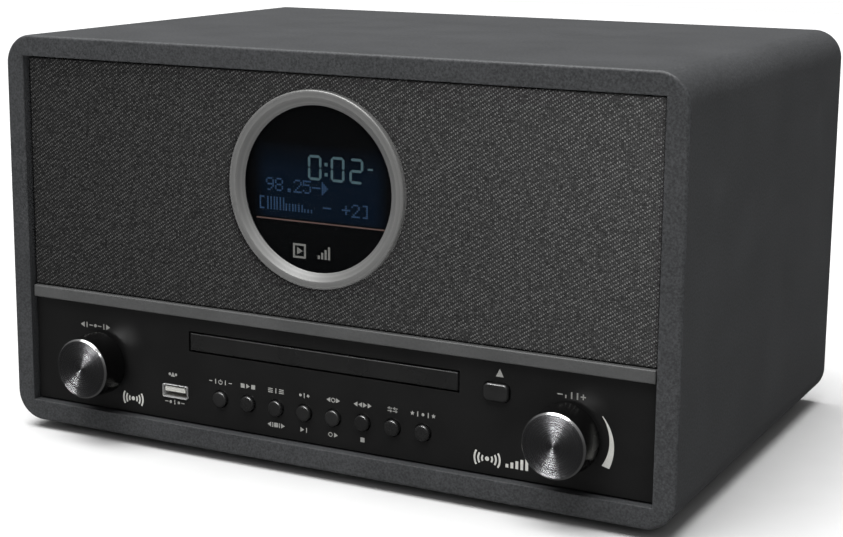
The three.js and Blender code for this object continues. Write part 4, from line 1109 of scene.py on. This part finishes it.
inletSizes = {"proud": 1.2, "flange": 2.3, "corner": 2.0, "ease": 0.5, "mouthWidth": 14.8, "mouthHeight": 8.4,
              "mouthDepth": 11.0, "mouthEase": 0.4, "pin": 1.2, "pinPitch": 8.6, "pinLength": 8.5}


def buildInlet():
    s = inletSizes
    low, high = corners("power_inlet")
    spot = middle("power_inlet")
    w, h = (high.x - low.x) / 2, (high.z - low.z) / 2
    a, b = s["mouthWidth"] / 2, s["mouthHeight"] / 2
    inW, inH = w - s["flange"], h - s["flange"]
    face, floor = high.y - s["proud"], high.y - s["mouthDepth"]
    ease, mouthEase = s["ease"], s["mouthEase"]
    bm = bmesh.new()
    lofted(bm, spot.x, spot.z, [
        (floor, a, b, b - 0.01), (high.y - mouthEase, a, b, b - 0.01),
        (high.y, a + mouthEase, b + mouthEase, b + 0.3), (high.y, w - ease, h - ease, s["corner"]),
        (high.y - ease, w, h, s["corner"]), (face, w, h, s["corner"]), (face, inW, inH, 0.5),
        (low.y, inW, inH, 0.5)])
    addPiece("mains_inlet", bm, "moulded_plastic", ["power_inlet"])
    bm = bmesh.new()
    foot, top = floor - 0.5, floor + s["pinLength"]
    profile = eased([(0, foot), (s["pin"], foot), (s["pin"], top, 0.6), (0, top)], steps=4)
    for side in (-1, 1):
        turned(bm, profile, (spot.x + side * s["pinPitch"] / 2, 0, spot.z), 32)
    addPiece("inlet_pins", bm, "chrome")


antennaSizes = {"foot": 3.0, "cap": 5.0, "stand": 3.2, "rim": 1.4, "eye": 2.0, "pin": 1.5, "tongue": 4.0,
                "neck": 1.85, "tube": 3.0, "shoulder": 7.0, "wall": 0.5, "solid": 12.5, "rod": 1.4,
                "knob": 2.4, "knobLength": 7.0}


def buildAntenna():
    s = antennaSizes
    low, high = corners("antenna_base")
    spot = middle("antenna_base")
    r, face = (high.x - low.x) / 2, high.y - s["stand"]
    bm = bmesh.new()
    profile = eased([(0, low.y), (s["foot"], low.y), (s["foot"], face), (r, face, 0.2),
                     (r, face + s["rim"], 0.6), (s["cap"], high.y, 0.5), (0, high.y)])
    turned(bm, profile, (spot.x, 0, spot.z), 64)
    addPiece("antenna_foot", bm, "chrome", ["antenna_base"])

    outer, tube = corners("antenna_outer"), middle("antenna_outer")
    hinge = outer[1].z - s["tongue"]
    y = outer[1].y - s["tongue"]
    end, r, inner = outer[0].z - hinge, s["tube"], s["tube"] - s["wall"]
    bm = bmesh.new()
    profile = eased([(0, -s["eye"]), (s["neck"], -s["eye"]), (s["neck"], -s["tongue"] - 0.3, 0.2),
                     (r, -s["shoulder"], 0.8), (r, end, 0.2), (inner, end), (inner, -s["solid"]),
                     (0, -s["solid"])])
    turned(bm, profile, (tube.x, y, hinge), 48, upright=True)
    eye = bmesh.new()
    profile = eased([(s["pin"], -s["eye"]), (s["tongue"], -s["eye"], 0.3), (s["tongue"], s["eye"], 0.3),
                     (s["pin"], s["eye"])], closed=True)
    turned(eye, profile, (0, 0, 0), 48)
    eye.transform(Matrix.Translation((tube.x, y, hinge)) @ Matrix.Rotation(math.pi / 2, 4, "Z"))
    spare = bpy.data.meshes.new("eye")
    eye.to_mesh(spare)
    bm.from_mesh(spare)
    eye.free()
    bpy.data.meshes.remove(spare)
    addPiece("antenna_outer_tube", bm, "chrome", ["antenna_outer"], "antenna_outer")

    a, b = corners("antenna_middle")
    r, top = (b.x - a.x) / 2, b.z - s["solid"]
    inner = r - s["wall"]
    bm = bmesh.new()
    profile = eased([(0, b.z), (r, b.z, 0.2), (r, a.z, 0.2), (inner, a.z), (inner, top), (0, top)])
    turned(bm, profile, (tube.x, y, 0), 48, upright=True)
    addPiece("antenna_middle_tube", bm, "chrome", ["antenna_middle"], "antenna_middle")

    a, b = corners("antenna_tip")
    r, knob, top = s["rod"], s["knob"], a.z + s["knobLength"]
    bm = bmesh.new()
    profile = eased([(0, b.z), (r, b.z, 0.2), (r, top), (knob, top, 0.5), (knob, a.z + 1.0, 0.9),
                     (r, a.z, 0.3), (0, a.z)])
    turned(bm, profile, (tube.x, y, 0), 48, upright=True)
    addPiece("antenna_tip_rod", bm, "chrome", ["antenna_tip"], "antenna_tip")


buildBack()
buildScrews()
buildInlet()
buildAntenna()
print("back built")

clampTone = plainFinish("clampGrey", tone(0.03), tone(0.045), (0.4, 0.5), 900.0, relief=0.03)
for entry in frame["record"]["subparts"]:
    node = frame["nodes"][entry["node"]]
    if not node.hide_render:
        coat = clampTone if entry["node"] == "disc_clamp" else finishes[entry["material_slot"]]
        node.data.materials.clear()
        node.data.materials.append(coat)
print("frame nodes painted")

stageSizes = {"floor": 6.0, "drop": 0.0006, "pale": (tone(0.64), tone(0.67))}
overhead = {"energy": 5.2, "angle": 55.0, "place": (-0.25, -0.3, 2.0)}
# Each box: place, aim, width, height, power, the only pieces it lights, whether it lights them softly too.
softBoxes = {
    "frontLeft": ((-0.6, -1.4, 0.9), (0.0, 0.0, 0.1), 0.8, 0.6, 2.0, (), True),
    "knobLight": ((-0.22, -1.25, 0.75), (0.0, 0.0, 0.05), 0.68, 0.45, 56.0, ("turned_", "key_"), False),
    "ringLight": ((0.62, -1.15, 0.95), (0.0, -0.1, 0.1), 0.12, 0.12, 1.2, ("spun_", "turned_"), False),
    "clothLight": ((0.36, -0.5, 0.3), (0.12, -0.1, 0.13), 0.25, 0.25, 8.0, ("woven_",), True),
}
worldLight = {"seen": 1.0, "low": 0.08, "high": 0.3, "rise": 0.8}
cameraLook = {"place": (0.38674, -0.77142, 0.26243), "turn": (78.9906, -0.3283, 28.1296), "lens": 75.04,
              "shift": (0.0357, -0.0469), "near": 0.01}


def hang(lamp, place, aim):
    holder = bpy.data.objects.new(lamp.name, lamp)
    holder.location = place
    holder.rotation_euler = (Vector(place) - Vector(aim)).to_track_quat("Z", "Y").to_euler()
    scene.collection.objects.link(holder)
    return holder


def buildStage():
    half = stageSizes["floor"] / 2
    low = cadBounds[0][2] - stageSizes["drop"]
    mesh = bpy.data.meshes.new("floor")
    edge = [(-half, -half, low), (half, -half, low), (half, half, low), (-half, half, low)]
    mesh.from_pydata(edge, [], [(0, 1, 2, 3)])
    mesh.materials.append(plainFinish("paleFloor", *stageSizes["pale"], (0.8, 0.9), 30.0, 3.0, relief=0.01,
                                      extra={"Specular IOR Level": 0.0}))
    floor = bpy.data.objects.new("floor", mesh)
    scene.collection.objects.link(floor)
    floor.visible_glossy = False  # polished pieces mirror the dim studio, not the floor
    sun = bpy.data.lights.new("overhead", "SUN")
    sun.energy, sun.angle = overhead["energy"], math.radians(overhead["angle"])
    hang(sun, overhead["place"], (0.0, 0.0, 0.0))
    for name, (place, aim, width, height, power, only, soft) in softBoxes.items():
        lamp = bpy.data.lights.new(name, "AREA")
        lamp.shape, lamp.size, lamp.size_y, lamp.energy = "RECTANGLE", width, height, power
        holder = hang(lamp, place, aim)
        holder.visible_diffuse = soft
        if only:
            group = bpy.data.collections.new(name)
            for piece in scene.objects:
                if piece.name.startswith(only):
                    group.objects.link(piece)
            holder.light_linking.receiver_collection = group
    world = bpy.data.worlds.new("studio")
    world.use_nodes = True
    studio = Graph(world.node_tree)
    studio.tree.nodes.clear()
    seen = studio.node("ShaderNodeLightPath", output="Is Camera Ray")
    way = studio.node("ShaderNodeTexCoord", output="Generated")
    rise = studio.node("ShaderNodeSeparateXYZ", None, {0: way}, 2)
    given = studio.node("ShaderNodeMapRange", None, {0: rise, 1: 0.0, 2: worldLight["rise"],
                                                     3: worldLight["low"], 4: worldLight["high"]})
    strength = seen * worldLight["seen"] + (1 - seen) * given
    sky = studio.node("ShaderNodeBackground", None, {"Color": tone(1.0), "Strength": strength})
    end = studio.tree.nodes.new("ShaderNodeOutputWorld")
    studio.tree.links.new(sky.socket, end.inputs["Surface"])
    scene.world = world
    camera = bpy.data.objects.new("camera", bpy.data.cameras.new("camera"))
    camera.location = cameraLook["place"]
    camera.rotation_euler = [math.radians(turn) for turn in cameraLook["turn"]]
    camera.data.lens = cameraLook["lens"]
    camera.data.shift_x, camera.data.shift_y = cameraLook["shift"]
    camera.data.clip_start = cameraLook["near"]
    scene.collection.objects.link(camera)
    bpy.context.scene.camera = camera
    scene.view_settings.view_transform = "Standard"


buildStage()
print("stage set")
